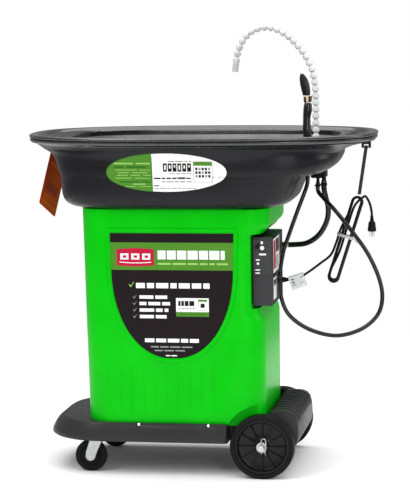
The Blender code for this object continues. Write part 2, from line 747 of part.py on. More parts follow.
def control_box():
    split = BOX_FRONT + COVER_DEPTH
    wall = BOX_WALL
    housing = add("control_housing", soft_box("control_housing", (BOX_LEFT, split + GAP, BOX_LOW),
                  (BOX_RIGHT, BOX_BACK, BOX_HIGH), 0.003), "black_plastic")
    cut(housing, boxes("housing_hollow", [
        ((BOX_LEFT + wall, split - 0.01, BOX_LOW + wall), (BOX_RIGHT - wall, BOX_BACK - wall, BOX_HIGH - wall))]))
    gland_hole = [(GLAND - Vector((0.02, 0, 0)), GLAND + Vector((0.02, 0, 0)))]
    cut(housing, rods("gland_hole", gland_hole, 0.0068, 12))
    cover = add("control_cover", soft_box("control_cover", (BOX_LEFT, BOX_FRONT, BOX_LOW),
                (BOX_RIGHT, split, BOX_HIGH), 0.003), "grey_plastic")
    cut(cover, boxes("cover_hollow", [
        ((BOX_LEFT + wall, BOX_FRONT + wall, BOX_LOW + wall), (BOX_RIGHT - wall, split + 0.01, BOX_HIGH - wall))]))
    button_line = [((BUTTON.x, BOX_FRONT - 0.01, BUTTON.y), (BUTTON.x, BOX_FRONT + 0.01, BUTTON.y))]
    cut(cover, rods("button_hole", button_line, 0.0073, 20))
    window = ((WINDOW.x - 0.0115, BOX_FRONT - 0.01, WINDOW.y - 0.0035), (WINDOW.x + 0.0115, BOX_FRONT + 0.01, WINDOW.y + 0.0035))
    cut(cover, boxes("window_hole", [window]))
    profile = [(0, -0.008), (0.0085, -0.008), (0.0085, -0.0045), (0.0069, -0.0045), (0.0069, 0.0020), (0.0060, 0.0026), (0, 0.0026)]
    button = add("power_button", turned("power_button", profile, 20), "white_plastic", (BUTTON.x, BOX_FRONT, BUTTON.y))
    button.rotation_euler = (math.radians(90), 0, 0)
    add("status_window", boxes("status_window", [
        ((WINDOW.x - 0.0111, BOX_FRONT + 0.0004, WINDOW.y - 0.0031), (WINDOW.x + 0.0111, BOX_FRONT + 0.0050, WINDOW.y + 0.0031))]),
        "red_lens")
    profile = [(0, -0.006), (0.0064, -0.006), (0.0064, 0.0005), (0.0110, 0.0005), (0.0110, 0.0060)]
    profile += [(0.0085, 0.0075), (0.0070, 0.0180), (0.0050, 0.0190), (0, 0.0190)]
    gland = add("cord_gland", turned("cord_gland", profile, 16), "black_plastic", GLAND)
    gland.rotation_euler = (0, math.radians(90), 0)


# ---------------------------------------------------------------- inside the tank

PUMP = Vector((-0.120, 0.020))
PUMP_FLOOR = TANK_BOTTOM + TANK_WALL


def pump():
    low = PUMP_FLOOR + GAP
    place = (*PUMP, low)
    screen = [(0.048, 0), (0.048, 0.018), (0.045, 0.018), (0.045, 0.002), (0.020, 0.002), (0.020, 0)]
    add("pump_screen", turned_ring("pump_screen", screen, 18), "black_plastic", place)
    body = [
        (0, 0.036), (0.034, 0.036), (0.034, 0.0183), (0.050, 0.0183), (0.052, 0.045), (0.040, 0.052),
        (0.040, 0.125), (0.034, 0.132), (0.0100, 0.134), (0.0100, 0.150), (0, 0.150),
    ]
    add("pump_body", turned("pump_body", body, 18), "dark_plastic", place)
    impeller = add("pump_impeller", turned("pump_impeller", [
        (0, 0.022), (0.010, 0.022), (0.010, 0.031), (0.028, 0.031), (0.028, 0.033),
        (0.004, 0.033), (0.004, 0.0357), (0, 0.0357)], 14), "white_plastic", place)
    vanes = bmesh.new()
    for i in range(5):
        verts = box_into(vanes, (0.008, -0.001, 0.0225), (0.0275, 0.001, 0.0315))
        bmesh.ops.transform(vanes, matrix=Matrix.Rotation(math.pi * i / 2.5, 4, "Z"), verts=verts)
    join(impeller, finish(vanes, "impeller_vanes")).location = place


def riser_pipe():
    """A rigid pipe from the pump's outlet to the inner end of the wall port."""
    start = Vector((*PUMP, PUMP_FLOOR + 0.1507))
    stop = Vector((PORT_INNER_END - GAP, WALL_PORT.y, WALL_PORT.z))
    route = [
        start,
        start + Vector((0, 0, 0.120)),
        start + Vector((0.004, 0.002, 0.290)),
        start + Vector((0.035, 0.018, 0.360)),
        start + Vector((0.105, 0.050, 0.383)),
        stop - Vector((0.100, 0.006, 0)),
        stop - Vector((0.045, 0, 0)),
        stop,
    ]
    return tube("riser_pipe", smooth_route(route, 0.040), 0.0080, "white_plastic", 2)


def wall_port():
    """The barbed port through the tank's recessed wall, along +X."""
    inner = PORT_INNER_END - WALL_PORT.x
    profile = [(0, inner), (0.0085, inner), (0.0085, 0.0005), (0.0150, 0.0005), (0.0150, 0.0085)]
    profile += [(0.0100, 0.0100), (0.0100, 0.0235), (0, 0.0235)]
    port = add("wall_port", turned("wall_port", profile, 14), "white_plastic", WALL_PORT)
    port.rotation_euler = (0, math.radians(90), 0)
    return port


def heater_element():
    """A sheathed heating rod bent to a long U just above the tank's floor."""
    z = 0.225
    near = -0.120
    far = -0.060
    right = TANK_RIGHT - TANK_WALL - GAP
    left = -0.250
    points = [Vector((right, near, z)), Vector((left, near, z))]
    for step in range(1, 8):
        angle = math.radians(180 * step / 8)
        middle = (near + far) / 2
        points.append(Vector((left - 0.030 * math.sin(angle), middle - 0.030 * math.cos(angle), z)))
    points += [Vector((left, far, z)), Vector((right, far, z))]
    rod = tube("heater_element", points, 0.0050, "steel", 2)
    return rod


def float_switch():
    x = -0.300
    y = 0.120
    low = PUMP_FLOOR + GAP
    stem = [(0, 0), (0.018, 0), (0.018, 0.004), (0.004, 0.006), (0.004, 0.180), (0.008, 0.180), (0.008, 0.184)]
    stem += [(0.004, 0.184), (0.004, 0.360), (0.008, 0.360), (0.008, 0.364), (0, 0.364)]
    add("float_stem", turned("float_stem", stem, 10), "steel", (x, y, low))
    ball = [(0.0046, 0), (0.014, 0), (0.022, 0.010), (0.022, 0.032), (0.014, 0.042), (0.0046, 0.042)]
    add("float_ball", turned_ring("float_ball", ball, 16), "white_plastic", (x, y, low + 0.1845))


# ---------------------------------------------------------------- hoses, spout and brush

MANIFOLD_TOP = SHELF_UNDERSIDE - 0.0015
MANIFOLD_LOW = MANIFOLD_TOP - 0.022
SUPPLY_BARB = Vector((0.3860, 0.020))
BRUSH_BARB = Vector((0.3720, -0.024))
BARB_END = MANIFOLD_LOW - 0.012


def flow_manifold():
    """Splits the supply between the spout, above, and the brush hose."""
    block = soft_box("flow_manifold", (0.350, -0.036, MANIFOLD_LOW), (0.397, 0.034, MANIFOLD_TOP), 0.003, 1)
    manifold = add("flow_manifold", block, "black_plastic")
    for spot, radius in ((SUPPLY_BARB, 0.0070), (BRUSH_BARB, 0.0052)):
        ends = [((*spot, BARB_END), (*spot, MANIFOLD_LOW + 0.004))]
        join(manifold, rods(f"barb_{radius}", ends, radius, 12))
    socket = [((SPOUT_X, SPOUT_Y, MANIFOLD_TOP - 0.0085), (SPOUT_X, SPOUT_Y, MANIFOLD_TOP + 0.01))]
    cut(manifold, rods("spout_socket", socket, 0.0095, 16))
    return manifold


def supply_hose():
    top = BARB_END - GAP
    route = [
        (SUPPLY_BARB.x, SUPPLY_BARB.y, top),
        (SUPPLY_BARB.x, SUPPLY_BARB.y, 0.889),
        (0.3910, 0.026, 0.860),
        (0.3970, 0.039, 0.825),
        (0.3900, 0.056, 0.782),
        (0.3630, 0.071, 0.736),
        (0.3220, 0.087, 0.7070),
        (0.2760, WALL_PORT.y, 0.700),
        (0.2400, WALL_PORT.y, 0.700),
        (WALL_PORT.x + 0.024, WALL_PORT.y, 0.700),
    ]
    return tube("supply_hose", smooth_route(route, 0.026), SUPPLY_HOSE_RADIUS, "black_rubber", 3)


def brush_hose():
    """A free loop from under the brush, round below and back up to the manifold."""
    route = [
        (BRUSH_X, BRUSH_Y, BRUSH_FOOT - 2 * GAP),
        (BRUSH_X, BRUSH_Y, 0.9380),
        (0.3435, -0.075, 0.912),
        (0.3370, -0.085, 0.890),
        (0.3230, -0.094, 0.852),
        (0.3060, -0.100, 0.806),
        (0.2890, -0.104, 0.758),
        (0.2700, -0.107, 0.701),
        (0.2595, -0.112, 0.630),
        (0.2630, -0.114, 0.556),
        (0.2900, -0.114, 0.498),
        (0.3540, -0.116, 0.455),
        (0.4370, -0.117, 0.437),
        (0.5150, -0.116, 0.458),
        (0.5670, -0.112, 0.503),
        (0.5820, -0.106, 0.558),
        (0.5710, -0.100, 0.620),
        (0.5360, -0.092, 0.695),
        (0.4860, -0.080, 0.763),
        (0.4320, -0.060, 0.826),
        (0.3900, -0.036, 0.866),
        (BRUSH_BARB.x, BRUSH_BARB.y, 0.887),
        (BRUSH_BARB.x, BRUSH_BARB.y, BARB_END - 2 * GAP),
    ]
    return tube("brush_hose", smooth_route(route, 0.033), BRUSH_HOSE_RADIUS, "black_rubber", 2)


def spout_route():
    """The goose-neck's centre line in the plane of the spout."""
    shape = [
        (0.3617, 0.9900), (0.3617, 1.0600), (0.3617, 1.1150), (0.3620, 1.1700), (0.3600, 1.2200),
        (0.3530, 1.2620), (0.3380, 1.3000), (0.3180, 1.3320), (0.2930, 1.3610), (0.2640, 1.3850),
        (0.2330, 1.4010), (0.2010, 1.4060), (0.1690, 1.3985), (0.1430, 1.3810), (0.1240, 1.3550),
        (0.1120, 1.3240), (0.1065, 1.2890), (0.1040, 1.2440),
    ]
    return [Vector((x, SPOUT_Y, z)) for x, z in shape]


def along(points, distance):
    """The point and direction at a distance along evenly spaced points."""
    step = (points[1] - points[0]).length
    place = min(distance / step, len(points) - 1.001)
    at = int(place)
    return points[at].lerp(points[at + 1], place - at), (points[at + 1] - points[at]).normalized()


def turned_along(points, stations):
    """Rings of (distance, offset, radius) square to the route; offset moves along the local direction."""
    rings = []
    for distance, offset, radius in stations:
        point, direction = along(points, distance)
        side = Vector((0, 1, 0))
        other = direction.cross(side).normalized()
        centre = point + direction * offset
        if radius == 0:
            rings.append([centre])
            continue
        turn = 2 * math.pi / SPOUT_SIDES
        rings.append([centre + radius * (side * math.cos(i * turn) + other * math.sin(i * turn)) for i in range(SPOUT_SIDES)])
    return rings


def socket_stations(start):
    """The hollow that takes the ball below, then the lip around it."""
    deep = SOCKET_RADIUS
    found = [(start, deep, 0)]
    for degrees in (48, 6):
        angle = math.radians(degrees)
        found.append((start, deep * math.sin(angle), deep * math.cos(angle)))
    found.append((start, -0.0030, SOCKET_RADIUS - 0.0002))
    found.append((start, -0.0030, LINK_RADIUS))
    return found


def ball_stations(end):
    """A neck and the ball that the next group turns on, about the point at this distance."""
    found = [(end, -0.0068, 0.0050)]
    for degrees in (-20, 15, 52):
        angle = math.radians(degrees)
        found.append((end, BALL_RADIUS * math.sin(angle), BALL_RADIUS * math.cos(angle)))
    found.append((end, BALL_RADIUS, 0))
    return found


def spout():
    points = smooth_route(spout_route(), 0.001)
    profile = [
        (0, MANIFOLD_TOP - 0.0080), (0.0092, MANIFOLD_TOP - 0.0080), (0.0092, SHELF_FLOOR + 0.0005),
        (0.0170, SHELF_FLOOR + 0.0005), (0.0170, SHELF_FLOOR + 0.0120), (0.0100, SHELF_FLOOR + 0.0150),
        (0.0078, 0.9790), (0.0046, 0.9826),
    ]
    for degrees in (-20, 15, 52):
        angle = math.radians(degrees)
        profile.append((BALL_RADIUS * math.cos(angle), 0.9900 + BALL_RADIUS * math.sin(angle)))
    profile.append((0, 0.9900 + BALL_RADIUS))
    add("spout_base", turned("spout_base", profile, 14), "white_plastic", (SPOUT_X, SPOUT_Y, 0))
    group = LINK_PITCH * LINKS_PER_GROUP
    for number in range(SPOUT_GROUPS):
        start = number * group
        stations = socket_stations(start)
        for link in range(LINKS_PER_GROUP):
            base = start + LINK_PITCH * link
            if link:
                stations.append((base - 0.0030, 0, LINK_RADIUS))
            stations.append((base + 0.0080, 0, LINK_RADIUS - 0.0004))
            stations.append((base + 0.0145, 0, 0.0084))
        stations[-1] = (start + group - 0.0100, 0, 0.0084)
        stations += ball_stations(start + group)
        name = f"spout_links_{number + 1}"
        add(name, loft(name, turned_along(points, stations)), "white_plastic")
    tip = SPOUT_GROUPS * group
    stations = socket_stations(tip)
    stations += [(tip, 0.0080, LINK_RADIUS - 0.0004), (tip, 0.0130, 0.0098), (tip, 0.0400, 0.0085), (tip, 0.0400, 0.0062), (tip, 0.0200, 0.0060)]
    nozzle = loft("spout_nozzle", turned_along(points, stations))
    add("spout_nozzle", nozzle, "white_plastic")


def brush():
    low = SHELF_FLOOR + 0.0004
    inner = BRUSH_HOSE_RADIUS + 0.0012
    grommet = [
        (inner, SHELF_UNDERSIDE - 0.0010), (GROMMET_HOLE - GAP, SHELF_UNDERSIDE - 0.0010), (GROMMET_HOLE - GAP, low),
        (0.0165, low), (0.0165, low + 0.0040), (inner, low + 0.0040),
    ]
    add("brush_grommet", turned_ring("brush_grommet", grommet, 20), "black_rubber", (BRUSH_X, BRUSH_Y, 0))
    foot = BRUSH_FOOT
    sections = [
        (foot, 0.000, 0.0085, 0.0085),
        (foot + 0.020, 0.000, 0.0120, 0.0105),
        (1.0400, 0.000, 0.0128, 0.0110),
        (1.0900, -0.002, 0.0128, 0.0110),
        (1.1200, -0.002, 0.0120, 0.0100),
        (1.1450, 0.001, 0.0140, 0.0120),
        (1.1600, 0.002, 0.0130, 0.0115),
        (1.1690, 0.002, 0.0105, 0.0100),
    ]
    rings = []
    for z, shift, half_x, half_y in sections:
        ring = circle(1.0, 0.0, 16)
        rings.append([Vector((BRUSH_X + shift + half_x * p.x, BRUSH_Y + half_y * p.y, z)) for p in ring])
    add("brush_handle", loft("brush_handle", rings), "black_plastic")
    collar = [(0, 0), (0.0105, 0), (0.0125, 0.004), (0.0125, 0.016), (0.0110, 0.020), (0, 0.020)]
    ferrule = add("brush_collar", turned("brush_collar", collar, 20), "beige_plastic", (BRUSH_X + 0.0015, BRUSH_Y, 1.1707))
    ferrule.rotation_euler = (0, math.radians(-6), 0)
    tuft = []
    steps = [(0, 0.0110), (0.014, 0.0135), (0.034, 0.0150), (0.052, 0.0130), (0.064, 0.0090), (0.070, 0.0045)]
    for height, radius in steps:
        lean = -0.0020 - 0.10 * height - 1.6 * height * height
        ring = circle(1.0, 0.0, 16)
        tuft.append([Vector((BRUSH_X + lean + radius * p.x, BRUSH_Y + 0.9 * radius * p.y, 1.1925 + height)) for p in ring])
    add("brush_bristles", loft("brush_bristles", tuft), "black_rubber")


# ---------------------------------------------------------------- cord, hook and tag

TAG_WIDTH = 0.120
TAG_HEIGHT = 0.200
TAG_INSET = 0.010
TAG_HOLE = Vector((-0.523, 0.098, 1.006))
TAG_PIVOT = Vector((-0.523, 0.098, 1.0415))

HANK_TOP = Vector((0.500, 0.000, 0.868))
HANK_LOW = Vector((0.410, 0.000, 0.588))
HANK_HALF_WIDTH = 0.020
HANK_HALF_THICK = 0.0115
PLUG_TOP = Vector((0.5410, -0.004, 0.806))


def hank_frame():
    """Local X across the hank, Z up its length, at the middle."""
    up = (HANK_TOP - HANK_LOW).normalized()
    depth = Vector((0, 1, 0))
    across = depth.cross(up)
    turn = Matrix((across, depth, up)).transposed().to_4x4()
    return Matrix.Translation((HANK_TOP + HANK_LOW) / 2) @ turn


def cord_hank():
    """The outer shape of the folded cord: a long slab with round ends."""
    half = (HANK_TOP - HANK_LOW).length / 2
    straight = half - HANK_HALF_WIDTH
    frame = hank_frame()
    outline = []
    for centre, start in ((straight, 0), (-straight, 180)):
        for step in range(9):
            angle = math.radians(start + 180 * step / 8)
            outline.append((HANK_HALF_WIDTH * math.cos(angle), centre + HANK_HALF_WIDTH * math.sin(angle)))
    rings = []
    for inset, y in ((0.003, -1.0), (0.0, -0.6), (0.0, 0.6), (0.003, 1.0)):
        share = 1 - inset / HANK_HALF_WIDTH
        rings.append([frame @ Vector((x * share, y * HANK_HALF_THICK, z - math.copysign(inset, z))) for x, z in outline])
    return add("cord_hank", loft("cord_hank", rings), "black_rubber")


def cord_run():
    """From the gland on the control box across to the side of the hank, at its tie."""
    stop = hank_frame() @ Vector((-HANK_HALF_WIDTH - CORD_RADIUS - 3 * GAP, 0, 0.012))
    up = (HANK_TOP - HANK_LOW).normalized()
    route = [
        GLAND + Vector((0.0194, 0, 0)),
        (0.2800, 0.000, 0.5980),
        (0.3050, 0.000, 0.6040),
        (0.3400, 0.000, 0.6260),
        (0.3750, 0.000, 0.6520),
        (0.4080, 0.000, 0.6790),
        stop - up * 0.032,
        stop,
    ]
    return tube("cord_run", smooth_route(route, 0.0170), CORD_RADIUS, "black_rubber", 2)


def plug_lead():
    start = hank_frame() @ Vector((0.0130, -0.004, (HANK_TOP - HANK_LOW).length / 2))
    route = [
        start,
        (0.5200, -0.004, 0.8690),
        (0.5290, -0.004, 0.8570),
        (0.5360, -0.004, 0.8400),
        (0.5400, -0.004, 0.8200),
        (PLUG_TOP.x, PLUG_TOP.y, PLUG_TOP.z + GAP),
    ]
    return tube("plug_lead", smooth_route(route, 0.0120), CORD_RADIUS, "black_rubber", 2)


def plug():
    """A moulded three-pin mains plug, pins down."""
    sections = [(0.000, 0.0050, 0.0050), (-0.010, 0.0062, 0.0060), (-0.018, 0.0095, 0.0085), (-0.030, 0.0130, 0.0110),
                (-0.046, 0.0135, 0.0120), (-0.050, 0.0125, 0.0110)]
    rings = []
    for height, half_x, half_y in sections:
        ring = circle(1.0, 0.0, 16)
        rings.append([PLUG_TOP + Vector((half_x * p.x, half_y * p.y, height)) for p in ring])
    body = add("plug", loft("plug", rings), "black_rubber")
    low = PLUG_TOP.z - 0.050
    pins = [((PLUG_TOP.x + x - 0.0008, PLUG_TOP.y - 0.0062, low - 0.0160), (PLUG_TOP.x + x + 0.0008, PLUG_TOP.y + 0.0002, low + 0.003))
            for x in (-0.0064, 0.0064)]
    join(body, boxes("plug_blades", pins))
    earth = [((PLUG_TOP.x, PLUG_TOP.y + 0.0058, low - 0.0190), (PLUG_TOP.x, PLUG_TOP.y + 0.0058, low + 0.003))]
    join(body, rods("earth_pin", earth, 0.0024, 8))
    return body


def cord_hook():
    """A lug let into the right wing, with a slot for the hanger strap."""
    x, y, z = HOOK
    hook = add("cord_hook", boxes("cord_hook", [hook_plate(0)]), "black_plastic")
    cut(hook, boxes("hook_slot", [((x - 0.009, y - 0.01, z - 0.0135), (x + 0.005, y + 0.01, z - 0.0055))]))
    return hook


def hanger_strap():
    """A flat strap through the hook's slot, both leaves hanging down to the top of the hank."""
    slot = HOOK + Vector((-0.002, 0, -0.0110))
    low = HANK_TOP + Vector((0, 0, 2 * GAP))
    down = (low - slot) / (slot - low).length
    across = Vector((0, 1, 0)).cross(down).normalized()
    sides = [(0.0045, 0.156), (0.0056, 0.060), (0.0056, 0.0080), (0.0044, 0.0012)]
    route = [(-y, fall) for y, fall in sides] + [(0, -0.0012)] + [(y, fall) for y, fall in reversed(sides)]
    rings = []
    for number, (y, fall) in enumerate(route):
        before = route[max(number - 1, 0)]
        after = route[min(number + 1, len(route) - 1)]
        along_strap = Vector((0, after[0] - before[0], 0)) + down * (after[1] - before[1])
        out = across.cross(along_strap).normalized() * STRAP_HALF_THICK
        wide = across * STRAP_HALF_WIDTH
        centre = slot + Vector((0, y, 0)) + down * fall
        rings.append([centre + wide + out, centre - wide + out, centre - wide - out, centre + wide - out])
    return add("hanger_strap", loft("hanger_strap", rings), "black_rubber")


def hang_tag():
    """A card on a short tie under the left wing; it hangs by one corner, so its edges lean."""
    turn = math.radians(75.6)
    lean = math.atan((TAG_WIDTH / 2 - TAG_INSET) / (TAG_HEIGHT / 2 - TAG_INSET))
    level = Vector((math.cos(turn), math.sin(turn), 0))
    wide = level * math.cos(lean) - Vector((0, 0, math.sin(lean)))
    tall = level * math.sin(lean) + Vector((0, 0, math.cos(lean)))
    thick = wide.cross(tall) * 0.0006
    corner = TAG_HOLE - wide * TAG_INSET - tall * (TAG_HEIGHT - TAG_INSET)
    flat = [(0, 0), (TAG_WIDTH, 0), (TAG_WIDTH, TAG_HEIGHT), (0.006, TAG_HEIGHT), (0, TAG_HEIGHT - 0.006)]
    rings = [[corner + wide * a + tall * b + thick * side for a, b in flat] for side in (-1, 1)]
    tag = add("hang_tag", loft("hang_tag", rings), "orange_card")
    join(tag, rods("tag_tie", [(TAG_HOLE - Vector((0, 0, 0.004)), TAG_PIVOT)], 0.0012, 8))
    return tag


def main():
    clear_scene()
    sink_basin()
    sink_grate()
    filter_mat()
    drain_strainer()
    tank_shell()
    base_dolly()
    for word, x in zip(("left", "right"), BOLT_X):
        base_bolt(f"base_bolt_{word}", x)
    axle()
    big_wheels()
    caster("near", -1)
    caster("far", 1)
    control_box()
    pump()
    riser_pipe()
    wall_port()
    heater_element()
    float_switch()
    flow_manifold()
    supply_hose()
    brush_hose()
    spout()
    brush()
    cord_hank()
    cord_run()
    plug_lead()
    plug()
    cord_hook()
    hanger_strap()
    hang_tag()


main()
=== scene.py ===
"""Parts washer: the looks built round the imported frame. Metres, +Z up, -Y is the front."""

import math
import random

import bmesh
import bpy
from mathutils import Matrix, Vector


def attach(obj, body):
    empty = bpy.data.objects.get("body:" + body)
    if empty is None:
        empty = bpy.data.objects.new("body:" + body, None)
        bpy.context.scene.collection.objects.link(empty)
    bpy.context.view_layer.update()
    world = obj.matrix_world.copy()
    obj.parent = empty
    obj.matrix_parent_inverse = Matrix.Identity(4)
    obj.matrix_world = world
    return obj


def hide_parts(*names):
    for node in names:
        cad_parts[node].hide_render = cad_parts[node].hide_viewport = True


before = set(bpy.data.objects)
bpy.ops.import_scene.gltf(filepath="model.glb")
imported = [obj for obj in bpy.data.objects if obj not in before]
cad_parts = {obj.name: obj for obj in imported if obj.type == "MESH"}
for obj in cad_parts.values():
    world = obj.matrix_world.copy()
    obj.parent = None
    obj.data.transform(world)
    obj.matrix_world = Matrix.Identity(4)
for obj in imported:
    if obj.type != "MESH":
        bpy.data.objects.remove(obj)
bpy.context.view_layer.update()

QUARTER_TURN = Matrix.Rotation(math.radians(90), 4, "X")

# Sink
RIM_HALF_LENGTH = 0.561
RIM_HALF_DEPTH = 0.322
RIM_SQUARENESS = 2.6
DECK = 1.0635
SINK_SIDES = 160
DRAIN = (-0.07, 0.0)
DRAIN_RADIUS = 0.03

# Tank and dolly
TANK_LEFT = -0.368
TANK_TAPER = 0.016
TANK_TOP = 0.8477
TANK_RIGHT = 0.219
TANK_HALF_DEPTH = 0.225
TANK_FRONT = -TANK_HALF_DEPTH
TANK_LEFT_CORNER = 0.09
TANK_RIGHT_CORNER = 0.07
TANK_BOTTOM = 0.1583
TANK_WALL = 0.006
COLLAR_RIGHT = 0.236
NOTCH_LEFT = 0.179
ARCH_RADIUS = 0.128
SHIELD_MIDDLE = (-0.067, 0.574)
SHIELD_FACE = TANK_FRONT - 0.0015
BASE_BOTTOM = 0.108
BASE_TOP = 0.168
BASE_MAIN_RIGHT = 0.104
TONGUE_HALF = 0.19
AXLE = Vector((0.215, 0.0, 0.1016))
WHEEL_SIDES = 96
CASTER_X = -0.322
CASTER_Y = 0.185
CASTER_TRAIL = 0.025
CASTER_RADIUS = 0.0508

# Control box
BOX_LOW = Vector((0.183, -0.19, 0.54))
BOX_HIGH = Vector((0.246, 0.05, 0.757))
BUTTON = (0.2145, 0.723)
COVER_BACK = -0.174

# Spout and brush
SPOUT_X = 0.3617
SPOUT_Y = 0.02
LINK_PITCH = 0.0215
SPOUT_GROUPS = 6
LINKS_PER_GROUP = 5
BRUSH = Vector((0.3457, -0.07, 0.9672))

# Hoses and cord
BRUSH_HOSE_DIAMETER = 0.0132
SUPPLY_HOSE_DIAMETER = 0.0176
CORD_DIAMETER = 0.0078
GLAND = Vector((0.246, 0.0, 0.598))
HANK_TOP = Vector((0.5, 0.0, 0.868))
HANK_LOW = Vector((0.41, 0.0, 0.588))
HANK_HALF_WIDTH = 0.02
TIE_HEIGHT = 0.012
PLUG_TOP = Vector((0.541, -0.004, 0.806))


# ---------------------------------------------------------------- camera and light


def make_camera():
    turn = math.radians(9.9)
    pitch = math.radians(6.981)
    roll = math.radians(0.86)
    ahead = Vector((-math.sin(turn) * math.cos(pitch), math.cos(turn) * math.cos(pitch), -math.sin(pitch)))
    right = Vector((math.cos(turn), math.sin(turn), 0.0))
    up = right.cross(ahead)
    across = right * math.cos(roll) - up * math.sin(roll)
    over = up * math.cos(roll) + right * math.sin(roll)
    data = bpy.data.cameras.new("view")
    data.lens = 151.7
    camera = bpy.data.objects.new("view", data)
    turned = Matrix((across, over, -ahead)).transposed().to_4x4()
    camera.matrix_world = Matrix.Translation((6.76 * math.sin(turn), -6.76 * math.cos(turn), 1.52)) @ turned
    bpy.context.scene.collection.objects.link(camera)
    bpy.context.scene.camera = camera


def area_light(name, place, aim, size, power):
    data = bpy.data.lights.new(name, "AREA")
    data.shape = "RECTANGLE"
    data.size, data.size_y = size
    data.energy = power
    lamp = bpy.data.objects.new(name, data)
    lamp.location = place
    lamp.rotation_euler = (Vector(aim) - Vector(place)).to_track_quat("-Z", "Y").to_euler()
    bpy.context.scene.collection.objects.link(lamp)


def make_studio():
    """A white backdrop with a dimmer surrounding light, so that dark plastic stays dark."""
    world = bpy.data.worlds.new("studio")
    world.use_nodes = True
    tree = world.node_tree
    seen = tree.nodes["Background"]
    seen.inputs["Color"].default_value = (1.0, 1.0, 1.0, 1.0)
    seen.inputs["Strength"].default_value = 1.0
    around = tree.nodes.new("ShaderNodeBackground")
    around.inputs["Color"].default_value = (1.0, 1.0, 1.0, 1.0)
    around.inputs["Strength"].default_value = 0.35
    path = tree.nodes.new("ShaderNodeLightPath")
    mix = tree.nodes.new("ShaderNodeMixShader")
    tree.links.new(path.outputs["Is Camera Ray"], mix.inputs[0])
    tree.links.new(around.outputs["Background"], mix.inputs[1])
    tree.links.new(seen.outputs["Background"], mix.inputs[2])
    tree.links.new(mix.outputs["Shader"], tree.nodes["World Output"].inputs["Surface"])
    bpy.context.scene.world = world
    bpy.context.scene.view_settings.view_transform = "Standard"
    area_light("key", (-1.9, -2.6, 2.9), (0, 0, 0.7), (1.6, 1.6), 50)
    area_light("front", (1.6, -3.4, 1.5), (0, 0, 0.6), (1.2, 2.2), 34)
    area_light("side", (3.0, 0.2, 1.6), (0, 0, 0.7), (1.4, 1.8), 22)
    area_light("over", (0.0, 0.0, 4.6), (0, 0, 0), (6.0, 6.0), 330)
    bm = bmesh.new()
    bmesh.ops.create_circle(bm, cap_ends=True, segments=96, radius=2.6)
    floor = bpy.data.objects.new("floor", to_mesh(bm, "floor"))
    floor.data.materials.append(surface("floor_white", (0.93, 0.93, 0.93), 0.9, mottle=0.01, relief=0.02))
    bpy.context.scene.collection.objects.link(floor)


# ---------------------------------------------------------------- materials


def wire(tree, start, stop, *sockets):
    tree.links.new(start.outputs[sockets[0]], stop.inputs[sockets[1]])


def noise_node(tree, coords, scale, detail, stretch=None):
    node = tree.nodes.new("ShaderNodeTexNoise")
    node.inputs["Scale"].default_value = scale
    node.inputs["Detail"].default_value = detail
    if stretch:
        mapping = tree.nodes.new("ShaderNodeMapping")
        mapping.inputs["Scale"].default_value = stretch
        wire(tree, coords, mapping, "Object", "Vector")
        wire(tree, mapping, node, "Vector", "Vector")
    else:
        wire(tree, coords, node, "Object", "Vector")
    return node


def ramp_node(tree, source, low, high):
    """Maps the middle of a noise to a range of values."""
    node = tree.nodes.new("ShaderNodeMapRange")
    node.inputs["From Min"].default_value = 0.3
    node.inputs["From Max"].default_value = 0.7
    node.inputs["To Min"].default_value = low
    node.inputs["To Max"].default_value = high
    wire(tree, source, node, "Fac", "Value")
    return node


def surface(name, colour, roughness, metallic=0.0, grain=420.0, relief=0.1, mottle=0.1,
            swing=0.06, stretch=None, **sockets):
    """A material whose colour, roughness and relief all vary over the piece by noise."""
    made = bpy.data.materials.get(f"{name}_finish")
    if made:
        return made
    made = bpy.data.materials.new(f"{name}_finish")
    made.use_nodes = True
    tree = made.node_tree
    shader = tree.nodes["Principled BSDF"]
    coords = tree.nodes.new("ShaderNodeTexCoord")
    cloud = noise_node(tree, coords, 9.0, 5.0, stretch)
    mix = tree.nodes.new("ShaderNodeMix")
    mix.data_type = "RGBA"
    mix.inputs["A"].default_value = (*[c * (1 - mottle) for c in colour], 1.0)
    mix.inputs["B"].default_value = (*[min(1.0, c * (1 + mottle)) for c in colour], 1.0)
    wire(tree, ramp_node(tree, cloud, 0.0, 1.0), mix, "Result", "Factor")
    tree.links.new(mix.outputs["Result"], shader.inputs["Base Color"])
    wear = noise_node(tree, coords, 55.0, 3.0, stretch)
    wire(tree, ramp_node(tree, wear, roughness - swing, roughness + swing), shader, "Result", "Roughness")
    fine = noise_node(tree, coords, grain, 2.0, stretch)
    bump = tree.nodes.new("ShaderNodeBump")
    bump.inputs["Strength"].default_value = relief
    bump.inputs["Distance"].default_value = 0.001
    wire(tree, fine, bump, "Fac", "Height")
    wire(tree, bump, shader, "Normal", "Normal")
    shader.inputs["Metallic"].default_value = metallic
    for socket, value in sockets.items():
        shader.inputs[socket.replace("_", " ")].default_value = value
    return made


def basin_black():
    return surface("basin_black", (0.008, 0.0078, 0.01), 0.32, grain=520, relief=0.025, mottle=0.14,
                   Specular_IOR_Level=0.22)


def rim_painted_highlight_black():
    """The rolled rim and the deck: a lighter, glossier copy of the basin black; its lighter colour is a
    painted highlight.
    """
    return surface("rim_painted_highlight_black", (0.02, 0.02, 0.022), 0.24, grain=420, relief=0.025, mottle=0.2, swing=0.08,
                   Specular_IOR_Level=0.9)


def painted_highlight_grey():
    """The upper wall inside the sink: the same black plastic, coloured light grey as a painted highlight
    where it catches the light.
    """
    return surface("painted_highlight_grey", (0.3, 0.3, 0.306), 0.34, grain=420, relief=0.08, mottle=0.2)


def tank_green():
    return surface("tank_green", (0.0004, 0.5, 0.003), 0.34, grain=300, relief=0.04, mottle=0.06,
                   Specular_IOR_Level=0.1)


def base_black():
    return surface("base_black", (0.019, 0.019, 0.02), 0.42, grain=600, relief=0.14, mottle=0.12,
                   Specular_IOR_Level=0.3)


def box_grey():
    return surface("box_grey", (0.034, 0.034, 0.037), 0.46, grain=900, relief=0.1, Specular_IOR_Level=0.25)


